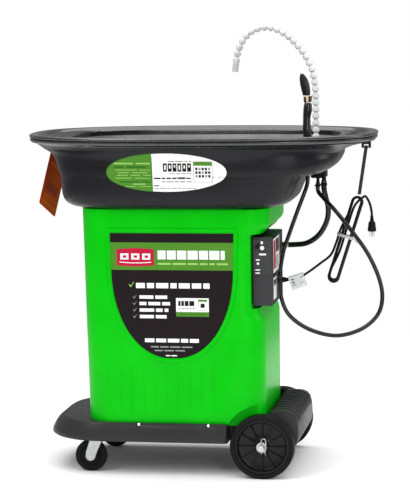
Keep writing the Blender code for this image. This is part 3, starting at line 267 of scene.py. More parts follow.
def box_black():
    return surface("box_black", (0.005, 0.005, 0.006), 0.45, grain=900, relief=0.08, Specular_IOR_Level=0.1)


def hub_black():
    return surface("hub_black", (0.006, 0.006, 0.007), 0.34, grain=700, relief=0.08, Specular_IOR_Level=0.25)


def tyre_black():
    return surface("tyre_black", (0.006, 0.006, 0.007), 0.55, grain=900, relief=0.14, mottle=0.2,
                   Specular_IOR_Level=0.12)


def zinc():
    return surface("zinc", (0.5, 0.51, 0.53), 0.28, 1.0, grain=500, relief=0.08, mottle=0.12, swing=0.1)


def steel():
    return surface("steel", (0.6, 0.6, 0.62), 0.26, 1.0, grain=300, relief=0.06, stretch=(1, 8, 1))


def spout_white():
    return surface("spout_white", (0.66, 0.67, 0.67), 0.38, grain=800, relief=0.06, mottle=0.05,
                   Subsurface_Weight=0.15, Subsurface_Scale=0.004)


def hose_black():
    return surface("hose_black", (0.005, 0.005, 0.006), 0.2, grain=700, relief=0.04, mottle=0.2,
                   Specular_IOR_Level=0.45)


def cord_black():
    return surface("cord_black", (0.004, 0.004, 0.005), 0.34, grain=1200, relief=0.06, mottle=0.2,
                   Specular_IOR_Level=0.15)


def white_plastic():
    return surface("white_plastic", (0.8, 0.8, 0.79), 0.4, grain=900, relief=0.05, mottle=0.04)


def ink(name, colour):
    """Printed film: flat colour with a faint print grain."""
    return surface(name, colour, 0.45, grain=2200, relief=0.03, mottle=0.05, swing=0.04,
                   Specular_IOR_Level=0.1)


# ---------------------------------------------------------------- mesh helpers


def to_mesh(bm, name, angle=35):
    """Turns a bmesh into mesh data, facing out and smooth where it is round."""
    bmesh.ops.recalc_face_normals(bm, faces=bm.faces)
    data = bpy.data.meshes.new(name)
    bm.to_mesh(data)
    bm.free()
    data.shade_smooth()
    data.set_sharp_from_angle(angle=math.radians(angle))
    return data


def piece(name, data, material, body, replaced=(), place=None):
    """Adds a detailed piece that rides on a body and stands for CAD nodes."""
    obj = bpy.data.objects.new(name, data)
    bpy.context.scene.collection.objects.link(obj)
    if place is not None:
        obj.matrix_world = place
    if not data.materials:
        data.materials.append(material)
    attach(obj, body)
    if replaced:
        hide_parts(*replaced)
    return obj


def bake(obj, angle=35):
    """Applies an object's modifiers to its mesh."""
    graph = bpy.context.evaluated_depsgraph_get()
    baked = bpy.data.meshes.new_from_object(obj.evaluated_get(graph))
    obj.modifiers.clear()
    obj.data = baked
    baked.shade_smooth()
    baked.set_sharp_from_angle(angle=math.radians(angle))


def carve(obj, data, operation="DIFFERENCE"):
    """An exact Boolean with throwaway mesh data, in the row frame."""
    tool = bpy.data.objects.new("tool", data)
    bpy.context.scene.collection.objects.link(tool)
    modifier = obj.modifiers.new("carve", "BOOLEAN")
    modifier.operation = operation
    modifier.solver = "EXACT"
    modifier.object = tool
    bake(obj)
    bpy.data.objects.remove(tool)


def round_edges(obj, width, segments=3, angle=40):
    modifier = obj.modifiers.new("edges", "BEVEL")
    modifier.width = width
    modifier.segments = segments
    modifier.limit_method = "ANGLE"
    modifier.angle_limit = math.radians(angle)
    bake(obj)


def skin(bm, rings, caps=True, index=0):
    """Skins rings of equal count; a ring of one point closes to a tip."""
    made = [[bm.verts.new(point) for point in ring] for ring in rings]
    faces = []
    for low, high in zip(made, made[1:]):
        count = max(len(low), len(high))
        for i in range(count):
            j = (i + 1) % count
            corners = [low[i % len(low)], low[j % len(low)], high[j % len(high)], high[i % len(high)]]
            faces.append(bm.faces.new(list(dict.fromkeys(corners))))
    if caps:
        faces += [bm.faces.new(end) for end in (made[0], made[-1]) if len(end) > 2]
    for face in faces:
        face.material_index = index


def loft(name, rings, angle=35):
    bm = bmesh.new()
    skin(bm, rings)
    return to_mesh(bm, name, angle)


def circle(radius, height, count):
    if radius == 0:
        return [Vector((0, 0, height))]
    turn = 2 * math.pi / count
    return [Vector((radius * math.cos(i * turn), radius * math.sin(i * turn), height)) for i in range(count)]


def lathe_into(bm, profile, count=48, place=None, closed=False, index=0):
    """Turns a (radius, height) profile about +Z; a closed profile makes a ring."""
    rings = [circle(radius, height, count) for radius, height in profile]
    if closed:
        rings.append(rings[0])
    if place:
        rings = [[place @ point for point in ring] for ring in rings]
    skin(bm, rings, caps=not closed, index=index)
    if closed:
        bmesh.ops.remove_doubles(bm, verts=bm.verts, dist=1e-6)


def lathe(name, profile, count=48, closed=False, place=None):
    bm = bmesh.new()
    lathe_into(bm, profile, count, place, closed)
    return to_mesh(bm, name)


def arc(centre, radius, start, stop, steps):
    """Points on an arc in a profile plane, angles in degrees."""
    points = []
    for step in range(steps + 1):
        angle = math.radians(start + (stop - start) * step / steps)
        points.append((centre[0] + radius * math.cos(angle), centre[1] + radius * math.sin(angle)))
    return points


def slab_into(bm, low, high, place=None):
    made = bmesh.ops.create_cube(bm, size=1.0)["verts"]
    size = Vector(high) - Vector(low)
    matrix = Matrix.Translation((Vector(high) + Vector(low)) / 2) @ Matrix.Diagonal((*size, 1.0))
    bmesh.ops.transform(bm, matrix=place @ matrix if place else matrix, verts=made)
    return made


def soften(bm, made, width):
    """Rounds every edge of a slab that has just been added."""
    edges = list(dict.fromkeys(e for v in made for e in v.link_edges))
    bmesh.ops.bevel(bm, geom=edges, offset=width, segments=2, affect="EDGES", profile=0.5)


def slabs(name, pairs):
    bm = bmesh.new()
    for low, high in pairs:
        slab_into(bm, low, high)
    return to_mesh(bm, name)


def soft_slab(name, low, high, width, segments=3):
    bm = bmesh.new()
    slab_into(bm, low, high)
    bmesh.ops.bevel(bm, geom=list(bm.edges), offset=width, segments=segments, affect="EDGES", profile=0.5)
    return to_mesh(bm, name)


def rods(name, ends, radius, count=24):
    bm = bmesh.new()
    for start, stop in ends:
        line = Vector(stop) - Vector(start)
        place = Matrix.Translation(Vector(start)) @ line.to_track_quat("Z", "Y").to_matrix().to_4x4()
        lathe_into(bm, [(radius, 0), (radius, line.length)], count, place)
    return to_mesh(bm, name)


def smooth_route(points, spacing):
    """Even points along a smooth curve through a route's own points."""
    points = [Vector(p) for p in points]
    ends = [2 * points[0] - points[1], *points, 2 * points[-1] - points[-2]]
    dense = []
    for a, b, c, d in zip(ends, ends[1:], ends[2:], ends[3:]):
        for step in range(24):
            t = step / 24
            bend = (2 * a - 5 * b + 4 * c - d) * t * t + (3 * b - a - 3 * c + d) * t ** 3
            dense.append(0.5 * (2 * b + (c - a) * t + bend))
    dense.append(points[-1])
    travelled = [0.0]
    for a, b in zip(dense, dense[1:]):
        travelled.append(travelled[-1] + (b - a).length)
    count = max(2, round(travelled[-1] / spacing))
    even = []
    at = 0
    for i in range(count + 1):
        target = travelled[-1] * i / count
        while at < len(dense) - 2 and travelled[at + 1] < target:
            at += 1
        share = (target - travelled[at]) / (travelled[at + 1] - travelled[at])
        even.append(dense[at].lerp(dense[at + 1], share))
    return even


def tube(name, points, radius, material, body, replaced=(), resolution=6):
    data = bpy.data.curves.new(name, "CURVE")
    data.dimensions = "3D"
    data.bevel_depth = radius
    data.bevel_resolution = resolution
    data.use_fill_caps = True
    spline = data.splines.new("POLY")
    spline.points.add(len(points) - 1)
    for place, point in zip(spline.points, points):
        place.co = (*point, 1.0)
    spline.use_smooth = True
    return piece(name, data, material, body, replaced)


def frame_at(point, direction):
    """A place whose +Z runs along a direction."""
    return Matrix.Translation(point) @ direction.to_track_quat("Z", "Y").to_matrix().to_4x4()


# ---------------------------------------------------------------- hoses and cord


def hose_clamp(name, point, direction, radius, material):
    """A worm-drive band with its screw housing."""
    bm = bmesh.new()
    place = frame_at(Vector(point), Vector(direction))
    band = [(radius, -0.0045), (radius + 0.0012, -0.0045), (radius + 0.0012, 0.0045), (radius, 0.0045)]
    lathe_into(bm, band, 40, place, closed=True)
    slab_into(bm, (-0.005, radius, -0.0038), (0.005, radius + 0.0055, 0.0038), place)
    screw = place @ Matrix.Translation((0.005, radius + 0.003, 0)) @ Matrix.Rotation(math.radians(90), 4, "Y")
    lathe_into(bm, [(0.0026, 0), (0.0026, 0.004), (0.0018, 0.005), (0, 0.005)], 16, screw)
    return piece(name, to_mesh(bm, name), material, "tank")


def brush_hose():
    route = smooth_route([
        (0.3457, -0.07, 0.9666),
        (0.3457, -0.07, 0.938),
        (0.3435, -0.075, 0.912),
        (0.337, -0.085, 0.89),
        (0.323, -0.094, 0.852),
        (0.306, -0.1, 0.806),
        (0.289, -0.104, 0.758),
        (0.27, -0.107, 0.701),
        (0.2595, -0.112, 0.63),
        (0.263, -0.114, 0.556),
        (0.29, -0.114, 0.498),
        (0.354, -0.116, 0.455),
        (0.437, -0.117, 0.437),
        (0.515, -0.116, 0.458),
        (0.567, -0.112, 0.503),
        (0.582, -0.106, 0.558),
        (0.571, -0.1, 0.62),
        (0.536, -0.092, 0.695),
        (0.486, -0.08, 0.763),
        (0.432, -0.06, 0.826),
        (0.39, -0.036, 0.866),
        (0.372, -0.024, 0.887),
        (0.372, -0.024, 0.9159),
    ], 0.008)
    hose = tube("brush_feed_hose", route, BRUSH_HOSE_DIAMETER / 2, hose_black(), "tank",
                ["brush_hose"])
    clamp = hose_clamp("brush_hose_clamp", (0.372, -0.024, 0.905), (0, 0, 1), 0.0067, box_black())


def supply_hose():
    route = smooth_route([
        (0.386, 0.02, 0.9162),
        (0.386, 0.02, 0.889),
        (0.391, 0.026, 0.86),
        (0.397, 0.039, 0.825),
        (0.39, 0.056, 0.782),
        (0.363, 0.071, 0.736),
        (0.322, 0.087, 0.707),
        (0.276, 0.095, 0.7),
        (0.24, 0.095, 0.7),
        (0.203, 0.095, 0.7),
    ], 0.008)
    hose = tube("pump_supply_hose", route, SUPPLY_HOSE_DIAMETER / 2, hose_black(), "tank",
                ["supply_hose"])
    upper = hose_clamp("supply_clamp_upper", (0.386, 0.02, 0.904), (0, 0, 1), 0.0089, box_black())
    lower = hose_clamp("supply_clamp_tank", (0.255, 0.095, 0.7), (1, 0, 0), 0.0089, white_plastic())


def hank_frame():
    """Local X across the hank, Z up its length, at the middle."""
    up = (HANK_TOP - HANK_LOW).normalized()
    depth = Vector((0, 1, 0))
    turn = Matrix((depth.cross(up), depth, up)).transposed().to_4x4()
    return Matrix.Translation((HANK_TOP + HANK_LOW) / 2) @ turn


def hank_turns():
    """The folded cord in the hank's frame: three long loops from back to front, then over the top."""
    loops = ((0.0076, 0.016, 0.143), (0.0, 0.016, 0.14), (-0.0076, 0.0135, 0.133))
    top = 0.143
    points = [(-0.0248, 0.004, 0.026), (-0.0215, 0.0076, 0.052), (-0.0165, 0.0076, 0.08)]
    for number, (depth, half, fall) in enumerate(loops):
        if number:
            points += [(-half, depth, z) for z in (-0.03, 0.02, 0.07)]
        points.append((-half, depth, top - half - 0.014))
        points += [(x, depth, z) for x, z in arc((0, top - half), half, 180, 0, 12)]
        points += [(half, depth, z) for z in (0.08, 0.03, -0.03, -0.08)]
        points += [(x, depth, z) for x, z in arc((0, half - fall), half, 0, -180, 12)]
        points.append((-half, depth, -0.096))
    points += [(-0.0055, -0.0076, -0.04), (-0.0055, -0.0076, 0.03), (-0.0055, -0.008, 0.09)]
    points += [(-0.003, -0.0125, 0.116), (0.0035, -0.0155, 0.133), (0.01, -0.012, 0.145)]
    place = hank_frame()
    return [place @ Vector(p) for p in points]


def mains_cord():
    """One lead: out of the box's gland, up to the hank, through its turns and on to the plug."""
    place = hank_frame()
    up = (HANK_TOP - HANK_LOW).normalized()
    side = place @ Vector((-HANK_HALF_WIDTH - 0.0048, 0, TIE_HEIGHT))
    start = GLAND + Vector((0.0194, 0, 0))
    run = [
        start,
        (0.28, 0.0, 0.598),
        (0.305, 0.0, 0.604),
        (0.34, 0.0, 0.626),
        (0.375, 0.0, 0.652),
        (0.408, 0.0, 0.679),
        side - up * 0.032,
        side,
    ]
    out = [
        place @ Vector((0.013, -0.004, 0.147)),
        (0.52, -0.004, 0.869),
        (0.529, -0.004, 0.857),
        (0.536, -0.004, 0.84),
        (0.54, -0.004, 0.82),
        (0.541, -0.004, 0.8063),
    ]
    route = smooth_route([*run, *hank_turns(), *out], 0.0045)
    nodes = ["cord_run", "cord_hank", "plug_lead"]
    cord = tube("mains_lead", route, CORD_DIAMETER / 2, cord_black(), "tank", nodes, 4)
    extras = [cord_relief(), cord_label(), hank_tie(), mains_plug()]


def cord_relief():
    """A short ringed sleeve that runs on from the gland."""
    profile = [(0.0041, 0.0), (0.0066, 0.0005), (0.0066, 0.0029), (0.0056, 0.0033), (0.0056, 0.0044)]
    profile += [(0.0046, 0.0054), (0.0041, 0.0056)]
    place = frame_at(GLAND + Vector((0.0192, 0, 0)), Vector((1, 0, 0)))
    return piece("cord_relief", lathe("cord_relief", profile, 28, True, place), cord_black(), "tank")


def cord_label():
    """A white film folded round the cord, its two leaves stuck together."""
    start = Vector((0.272, 0.0, 0.5995))
    stop = Vector((0.32, 0.0, 0.615))
    along = stop - start
    down = Vector((along.z, 0, -along.x)).normalized()
    bm = bmesh.new()
    for y, reach in ((-0.0042, 0.037), (0.0042, 0.037)):
        rows = []
        for step in range(9):
            share = step / 8
            pinch = y * (1 - share) ** 0.5 + 0.0004 * math.copysign(1, y)
            fall = -0.0035 + (reach + 0.0035) * share
            rows.append([start + along * t + down * fall + Vector((0, pinch + 0.0012 * math.sin(9 * t), 0))
                         for t in (0, 0.25, 0.5, 0.75, 1.0)])
        grid_into(bm, rows, 0)
    over = []
    for step in range(7):
        angle = math.pi * step / 6
        over.append([start + along * t + Vector((0, -0.0046 * math.cos(angle),
                                                 0)) - down * (0.0035 + 0.0046 * math.sin(angle))
                     for t in (0, 0.25, 0.5, 0.75, 1.0)])
    grid_into(bm, over, 0)
    for low, high, fall, thick in ((0.12, 0.42, 0.0125, 0.0032), (0.1, 0.88, 0.02, 0.0009),
                                   (0.1, 0.8, 0.024, 0.0009)):
        rows = [[start + along * t + down * (fall + rise) - Vector((0, 0.0032, 0)) for t in (low,
                high)] for rise in (0, thick)]
        grid_into(bm, rows, 1)
    data = to_mesh(bm, "cord_label")
    data.materials.append(ink("label_white", (0.86, 0.87, 0.87)))
    data.materials.append(ink("label_dark", (0.06, 0.06, 0.07)))
    return piece("cord_label", data, None, "tank")


def hank_tie():
    """A pale wire tie round the hank's middle, with its twisted ends."""
    place = hank_frame() @ Matrix.Translation((-0.0035, 0, TIE_HEIGHT))
    bm = bmesh.new()
    for height in (-0.0032, 0.0, 0.0032):
        rings = []
        for lift, grow in ((-0.0014, 0.0), (-0.0007, 0.0008), (0.0007, 0.0008), (0.0014, 0.0)):
            ring = oval(-0.0268 - grow, 0.0252 + grow, 0.0158 + grow, 2.6, height + lift, 48)
            rings.append([place @ p for p in ring])
        skin(bm, rings, caps=False)
    for turn in (0.0, math.pi):
        ends = []
        for step in range(15):
            t = step / 14
            angle = turn + 9 * t
            ends.append(place @ Vector((0.0262 + 0.02 * t, -0.004 + 0.0014 * math.cos(angle),
                                        0.0014 * math.sin(angle) - 0.01 * t)))
        for a, b in zip(ends, ends[1:]):
            lathe_into(bm, [(0.0011, 0), (0.0011, (b - a).length)], 8, frame_at(a, b - a))
    return piece("hank_tie", to_mesh(bm, "hank_tie"), surface("tie_silver", (0.72, 0.73, 0.74), 0.35, 0.6),
                 "tank")


def mains_plug():
    """A moulded three-pin plug: ribbed neck, waisted grip, flat face and bare blades."""
    sections = [(0.0, 0.0044, 0.0044)]
    for ring in range(4):
        drop = 0.0015 + 0.004 * ring
        wide = 0.0052 + 0.0005 * ring
        sections += [(-drop, wide, wide), (-drop - 0.0022, wide, wide),
                     (-drop - 0.0026, wide - 0.0008, wide - 0.0008),
                     (-drop - 0.0036, wide - 0.0008, wide - 0.0008)]
    sections += [(-0.0185, 0.0092, 0.0084), (-0.024, 0.0114, 0.0098), (-0.03, 0.0118, 0.01),
                 (-0.036, 0.0126, 0.0108),
                 (-0.04, 0.0135, 0.0118), (-0.047, 0.0135, 0.012), (-0.049, 0.0131, 0.0116),
                 (-0.05, 0.0122, 0.0108)]
    bm = bmesh.new()
    rings = []
    for height, half_x, half_y in sections:
        rings.append([PLUG_TOP + Vector((half_x * p.x, half_y * p.y, height)) for p in circle(1.0, 0.0, 32)])
    skin(bm, rings)
    low = PLUG_TOP.z - 0.05
    for side in (-0.0064, 0.0064):
        made = slab_into(bm, (PLUG_TOP.x + side - 0.0008, PLUG_TOP.y - 0.0062, low - 0.016),
                         (PLUG_TOP.x + side + 0.0008, PLUG_TOP.y + 0.0002, low + 0.001))
        for face in dict.fromkeys(f for v in made for f in v.link_faces):
            face.material_index = 1
    half_turn = Matrix.Rotation(math.pi, 4, "X")
    pin = Matrix.Translation((PLUG_TOP.x, PLUG_TOP.y + 0.0058, low + 0.001)) @ half_turn
    lathe_into(bm, [(0.0024, 0), (0.0024, 0.018), (0.0016, 0.0196), (0, 0.02)], 20, pin, index=1)
    data = to_mesh(bm, "mains_plug")
    data.materials.append(cord_black())
    data.materials.append(steel())
    return piece("mains_plug", data, None, "tank", ["plug"])


# ---------------------------------------------------------------- sink


def oval(left, right, half_depth, squareness, height, count=SINK_SIDES):
    """A superellipse outline between two X limits."""
    middle = (left + right) / 2
    half = (right - left) / 2
    power = 2 / squareness
    ring = []
    for i in range(count):
        angle = 2 * math.pi * (i + 0.5) / count
        c = math.cos(angle)
        s = math.sin(angle)
        x = middle + half * math.copysign(abs(c) ** power, c)
        ring.append(Vector((x, half_depth * math.copysign(abs(s) ** power, s), height)))
    return ring


def rim_ring(inset, height):
    half = RIM_HALF_LENGTH - inset
    return oval(-half, half, RIM_HALF_DEPTH - inset, RIM_SQUARENESS, height)


def eased(shapes, steps=4):
    """Shapes between given ones, along a smooth curve through every number."""
    ends = [shapes[0], *shapes, shapes[-1]]
    found = []
    for a, b, c, d in zip(ends, ends[1:], ends[2:], ends[3:]):
        for step in range(steps):
            t = step / steps
            found.append(tuple(
                0.5 * (2 * q + (r - p) * t + (2 * p - 5 * q + 4 * r - s) * t * t + (3 * q - p - 3 * r + s)
                       * t ** 3)
                for p, q, r, s in zip(a, b, c, d)))
    found.append(shapes[-1])
    return found


BOWL_OUTSIDE = [
    (-0.385, 0.262, 0.23, 4.0, 0.848),
    (-0.412, 0.283, 0.247, 4.0, 0.854),
    (-0.433, 0.3, 0.262, 4.0, 0.869),
    (-0.442, 0.312, 0.27, 4.0, 0.895),
    (-0.445, 0.331, 0.276, 4.0, 0.94),
    (-0.448, 0.338, 0.277, 4.0, 0.951),
]
FLARE_OUTSIDE = [
    (-0.448, 0.395, 0.278, 4.0, 0.952),
    (-0.453, 0.427, 0.281, 4.0, 0.97),
    (-0.466, 0.447, 0.285, 3.6, 1.0),
    (-0.483, 0.453, 0.292, 3.2, 1.018),
    (-0.512, 0.48, 0.302, 2.7, 1.031),
    (-0.525, 0.507, 0.306, 2.6, 1.0385),
    (-0.54, 0.551, 0.315, 2.6, 1.048),
]
SHELF_WALL = [
    (-0.425, 0.438, 0.276, 3.5, 1.063),
    (-0.429, 0.4355, 0.273, 3.7, 1.0595),
    (-0.433, 0.433, 0.27, 4.0, 1.04),
    (-0.44, 0.421, 0.267, 4.0, 0.985),
    (-0.442, 0.406, 0.2655, 4.0, 0.966),
    (-0.442, 0.388, 0.265, 4.0, 0.962),
]
BOWL_INSIDE = [
    (-0.442, 0.327, 0.264, 4.0, 0.96),
    (-0.44, 0.32, 0.263, 4.0, 0.95),
    (-0.433, 0.304, 0.258, 4.0, 0.895),
    (-0.425, 0.29, 0.25, 4.0, 0.872),
    (-0.412, 0.276, 0.24, 4.0, 0.8615),
    (-0.396, 0.262, 0.23, 4.0, 0.858),
]


def rim_profile():
    """(inset, height) of the rolled rim: two beads with a groove between, and the inner slope."""
    lower = [(0.0105, 1.05), (0.0065, 1.052), (0.0038, 1.055), (0.0024, 1.0585), (0.0026, 1.061),
             (0.004, 1.0625)]
    groove = [(0.0066, 1.0638), (0.007, 1.0646)]
    upper = [(0.0062 - r, z) for r, z in arc((0, 1.07), 0.0054, -60, 90, 9)]
    slope = [(0.014, 1.0755), (0.02, 1.0754), (0.0255, 1.0743), (0.0295, 1.0715), (0.0325, 1.0665),
             (0.0355, 1.0641), (0.04, 1.0635)]
    return lower + groove + upper + slope


def sink():
    rings = [oval(*shape) for shape in eased(BOWL_OUTSIDE) + eased(FLARE_OUTSIDE)]
    rings += [rim_ring(inset, height) for inset, height in rim_profile()]
    rings += [oval(*shape) for shape in eased(SHELF_WALL) + eased(BOWL_INSIDE)]
    obj = piece("basin", loft("basin", rings, 30), basin_black(), "tank", ["sink_basin"])
    holes = [
        ((*DRAIN, 0.83), (*DRAIN, 0.87), DRAIN_RADIUS),
        ((SPOUT_X, SPOUT_Y, 0.94), (SPOUT_X, SPOUT_Y, 0.975), 0.0108),
        ((BRUSH.x, BRUSH.y, 0.94), (BRUSH.x, BRUSH.y, 0.975), 0.011),
    ]
    for start, stop, radius in holes:
        carve(obj, rods("hole", [(start, stop)], radius, 40))
    obj.data.materials.clear()
    for made in (basin_black(), rim_painted_highlight_black(), painted_highlight_grey()):
        obj.data.materials.append(made)
    # Faces above 1.046 (rim and deck) take the lighter rim black, a painted highlight; inward faces of the
    # upper wall take the light grey, a painted highlight; the rest stay basin black.
    for face in obj.data.polygons:
        inward = face.normal.x * (face.center.x + 0.06) + face.normal.y * face.center.y < 0
        face.material_index = 1 if face.center.z > 1.046 else 2 if inward and face.center.z > 0.99 else 0


def deck_details():
    """Raised ribs round the left wing, three drain blocks and two knobs on the right one."""
    bm = bmesh.new()
    for offset in (0.014, 0.038, 0.062):
        outline = oval(-0.428 - offset, 0.44 + offset, 0.278 + offset * 0.4, 3.2, DECK, 240)
        line = [p for p in outline if p.x < -0.37 - offset and p.y > -0.1]
        line = [p for p in line if p.y < 0.215]
        for a, b in zip(line, line[1:]):
            place = frame_at(a, b - a)
            lathe_into(bm, [(0.0045, 0), (0.0045, (b - a).length)], 10, place)
    for i in range(3):
        y = -0.072 + 0.06 * i
        soften(bm, slab_into(bm, (0.457, y, DECK - 0.002), (0.507, y + 0.012, DECK + 0.004)), 0.0018)
    for x, y in ((0.47, -0.135), (0.47, 0.135)):
        lathe_into(bm, [(0.007, DECK - 0.002), (0.007, DECK + 0.003), (0.005, DECK + 0.005),
                        (0, DECK + 0.0055)], 24,
                   Matrix.Translation((x, y, 0)))
    # The deck details share the rim's lighter black, a painted highlight.
    piece("deck_details", to_mesh(bm, "deck_details"), rim_painted_highlight_black(), "tank")


def shape_at(shapes, height):
    """The sink's outline numbers at a height, straight between the given shapes."""
    for low, high in zip(shapes, shapes[1:]):
        if low[4] <= height <= high[4]:
            share = (height - low[4]) / (high[4] - low[4])
            return [a + (b - a) * share for a, b in zip(low, high)]
    return list(shapes[-1])


OUTSIDE = eased(BOWL_OUTSIDE) + eased(FLARE_OUTSIDE)


def basin_face(x, z):
    """The point of the sink's front wall at a place."""
    left, right, half_depth, squareness, _ = shape_at(OUTSIDE, z)
    share = abs((x - (left + right) / 2) / ((right - left) / 2))
    return Vector((x, -half_depth * (1 - share ** squareness) ** (1 / squareness), z))


# ---------------------------------------------------------------- labels


def grid_into(bm, rows, index):
    """Faces between rows of points."""
    made = [[bm.verts.new(p) for p in row] for row in rows]
    for low, high in zip(made, made[1:]):
        for i in range(len(low) - 1):
            bm.faces.new((low[i], low[i + 1], high[i + 1], high[i])).material_index = index


def film(bm, face, left, right, low, high, lift, index, pitch=0.01):
    """A patch of film on a face; low and high are heights or functions of x."""
    bottom = low if callable(low) else lambda x: low
    top = high if callable(high) else lambda x: high
    columns = max(1, round((right - left) / pitch))
    count = max(1, round((top((left + right) / 2) - bottom((left + right) / 2)) / (2 * pitch)))
    rows = []
    for row in range(count + 1):
        line = []
        for column in range(columns + 1):
            x = left + (right - left) * column / columns
            z = bottom(x) + (top(x) - bottom(x)) * row / count
            line.append(face(x, z) - Vector((0, lift, 0)))
        rows.append(line)
    grid_into(bm, rows, index)


def strokes(bm, face, left, right, low, high, lift, index, seed, word=0.016):
    """A row of short bars with gaps, as unreadable small print looks from afar."""
    dice = random.Random(seed)
    x = left
    while x < right - word * 0.3:
        stop = min(right, x + word * dice.uniform(0.5, 1.4))
        film(bm, face, x, stop, low, high, lift, index)
        x = stop + word * 0.18


def label_piece(name, bm, inks):
    data = bpy.data.meshes.new(name)
    bm.to_mesh(data)
    bm.free()
    for key, colour in inks:
        data.materials.append(ink(key, colour))
    obj = piece(name, data, None, "tank")
    modifier = obj.modifiers.new("film", "SOLIDIFY")
    modifier.thickness = 0.0001
    modifier.offset = 0
    return obj


LIME = ("ink_lime", (0.075, 0.235, 0.022))
PALE_LIME = ("ink_pale_lime", (0.3, 0.56, 0.14))
DARK_GREEN = ("ink_dark_green", (0.03, 0.15, 0.015))
WHITE = ("ink_white", (0.86, 0.88, 0.86))
BLACK = ("ink_black", (0.012, 0.008, 0.01))
GREY = ("ink_grey", (0.3, 0.31, 0.3))
RED = ("ink_red", (0.48, 0.01, 0.045))
INKS = [LIME, PALE_LIME, DARK_GREEN, WHITE, BLACK, GREY, RED]


def oval_label():
    """The oval on the sink: a lime part with print lines, a white part with a calendar mark."""
    centre_x, centre_z, half_x, half_z = -0.07, 0.9675, 0.1905, 0.0605

    def height(x):
        return half_z * math.sqrt(max(0.0, 1 - ((x - centre_x) / half_x) ** 2))

    def low(x):
        return centre_z - height(x)

    def high(x):
        return centre_z + height(x)

    bm = bmesh.new()
    left = centre_x - half_x
    right = centre_x + half_x
    split = -0.1141
    film(bm, basin_face, left, split, lambda x: low(x) - 0.0022, lambda x: high(x) + 0.0022, 0.0003, 2, 0.004)
    film(bm, basin_face, left + 0.001, split, low, high, 0.0005, 0, 0.004)
    film(bm, basin_face, split, right, low, high, 0.0005, 3, 0.004)
    film(bm, basin_face, split - 0.0008, split + 0.0008, low, high, 0.0007, 2, 0.004)
    for seed, (start, z, thick, tone) in enumerate((
            (-0.236, 0.9957, 0.0045, 1), (-0.235, 0.9846, 0.006, 2), (-0.23, 0.9755, 0.002, 1),
            (-0.222, 0.967, 0.0022, 1), (-0.226, 0.959, 0.0022, 1), (-0.232, 0.95, 0.002, 1),
            (-0.216, 0.9383, 0.0042, 2), (-0.176, 0.9312, 0.0035, 1), (-0.2, 0.924, 0.0016, 1))):
        strokes(bm, basin_face, start, -0.119, z - thick / 2, z + thick / 2, 0.0008, tone, seed, 0.05)
    for step in range(6):
        start = -0.0787 + 0.0152 * step
        film(bm, basin_face, start, start + 0.012, 0.9705, 0.9962, 0.0008, 4)
        film(bm, basin_face, start + 0.004, start + 0.0085, 0.976 + 0.004 * (step % 3), 0.9905, 0.001, 3)
    for seed, (start, stop, z, thick, tone) in enumerate((
            (-0.062, 0.01, 1.0024, 0.0034, 5), (-0.059, 0.01, 0.964, 0.0028, 5),
            (-0.109, 0.0097, 0.9492, 0.0042, 4),
            (-0.084, 0.0097, 0.9388, 0.0034, 5), (-0.11, -0.085, 0.9262, 0.003, 4),
            (-0.11, 0.024, 0.918, 0.0026, 5))):
        strokes(bm, basin_face, start, stop, z - thick / 2, z + thick / 2, 0.0008, tone, 40 + seed, 0.02)
    film(bm, basin_face, 0.016, 0.076, 0.937, 1.002, 0.0008, 5)
    film(bm, basin_face, 0.0175, 0.0745, 0.9385, 1.0005, 0.001, 3)
    film(bm, basin_face, 0.0175, 0.0745, 0.988, 1.0005, 0.0012, 0)
    for column in range(5):
        for row in range(3):
            x = 0.0225 + 0.01 * column
            z = 0.952 + 0.0115 * row
            film(bm, basin_face, x, x + 0.007, z, z + 0.008, 0.0012, 4 if (column + row) % 3 else 5)
    label_piece("oval_label", bm, INKS)


def shield_outline(scale):
    """The shield's (x, z) outline from the top left corner, clockwise."""
    half = 0.2 * scale
    top = 0.2025 * scale
    right = [(half, top), (half * 0.985, top - 0.12 * scale)]
    for step in range(1, 24):
        angle = math.radians(90 * step / 24)
        right.append((half * 0.985 * math.cos(angle) ** 0.92,
                      0.0825 * scale - 0.285 * scale * math.sin(angle)))
    outline = right + [(0, -0.2035 * scale)] + [(-x, z) for x, z in reversed(right)]
    return [(SHIELD_MIDDLE[0] + x, SHIELD_MIDDLE[1] + z) for x, z in outline]


def shield_slab(scale, low, high):
    return loft("shield", [[Vector((x, y, z)) for x, z in shield_outline(scale)] for y in (low, high)])


def shield_half(z, scale=0.985):
    """Half the shield's width at a height."""
    outline = [(x - SHIELD_MIDDLE[0], h) for x, h in shield_outline(scale) if x >= SHIELD_MIDDLE[0]]
    for (x_high, high), (x_low, low) in zip(outline, outline[1:]):
        if low <= z <= high:
            return x_low + (x_high - x_low) * (z - low) / max(high - low, 1e-9)
    return 0.0


def tank_face(x, z):
    return Vector((x, SHIELD_FACE, z))


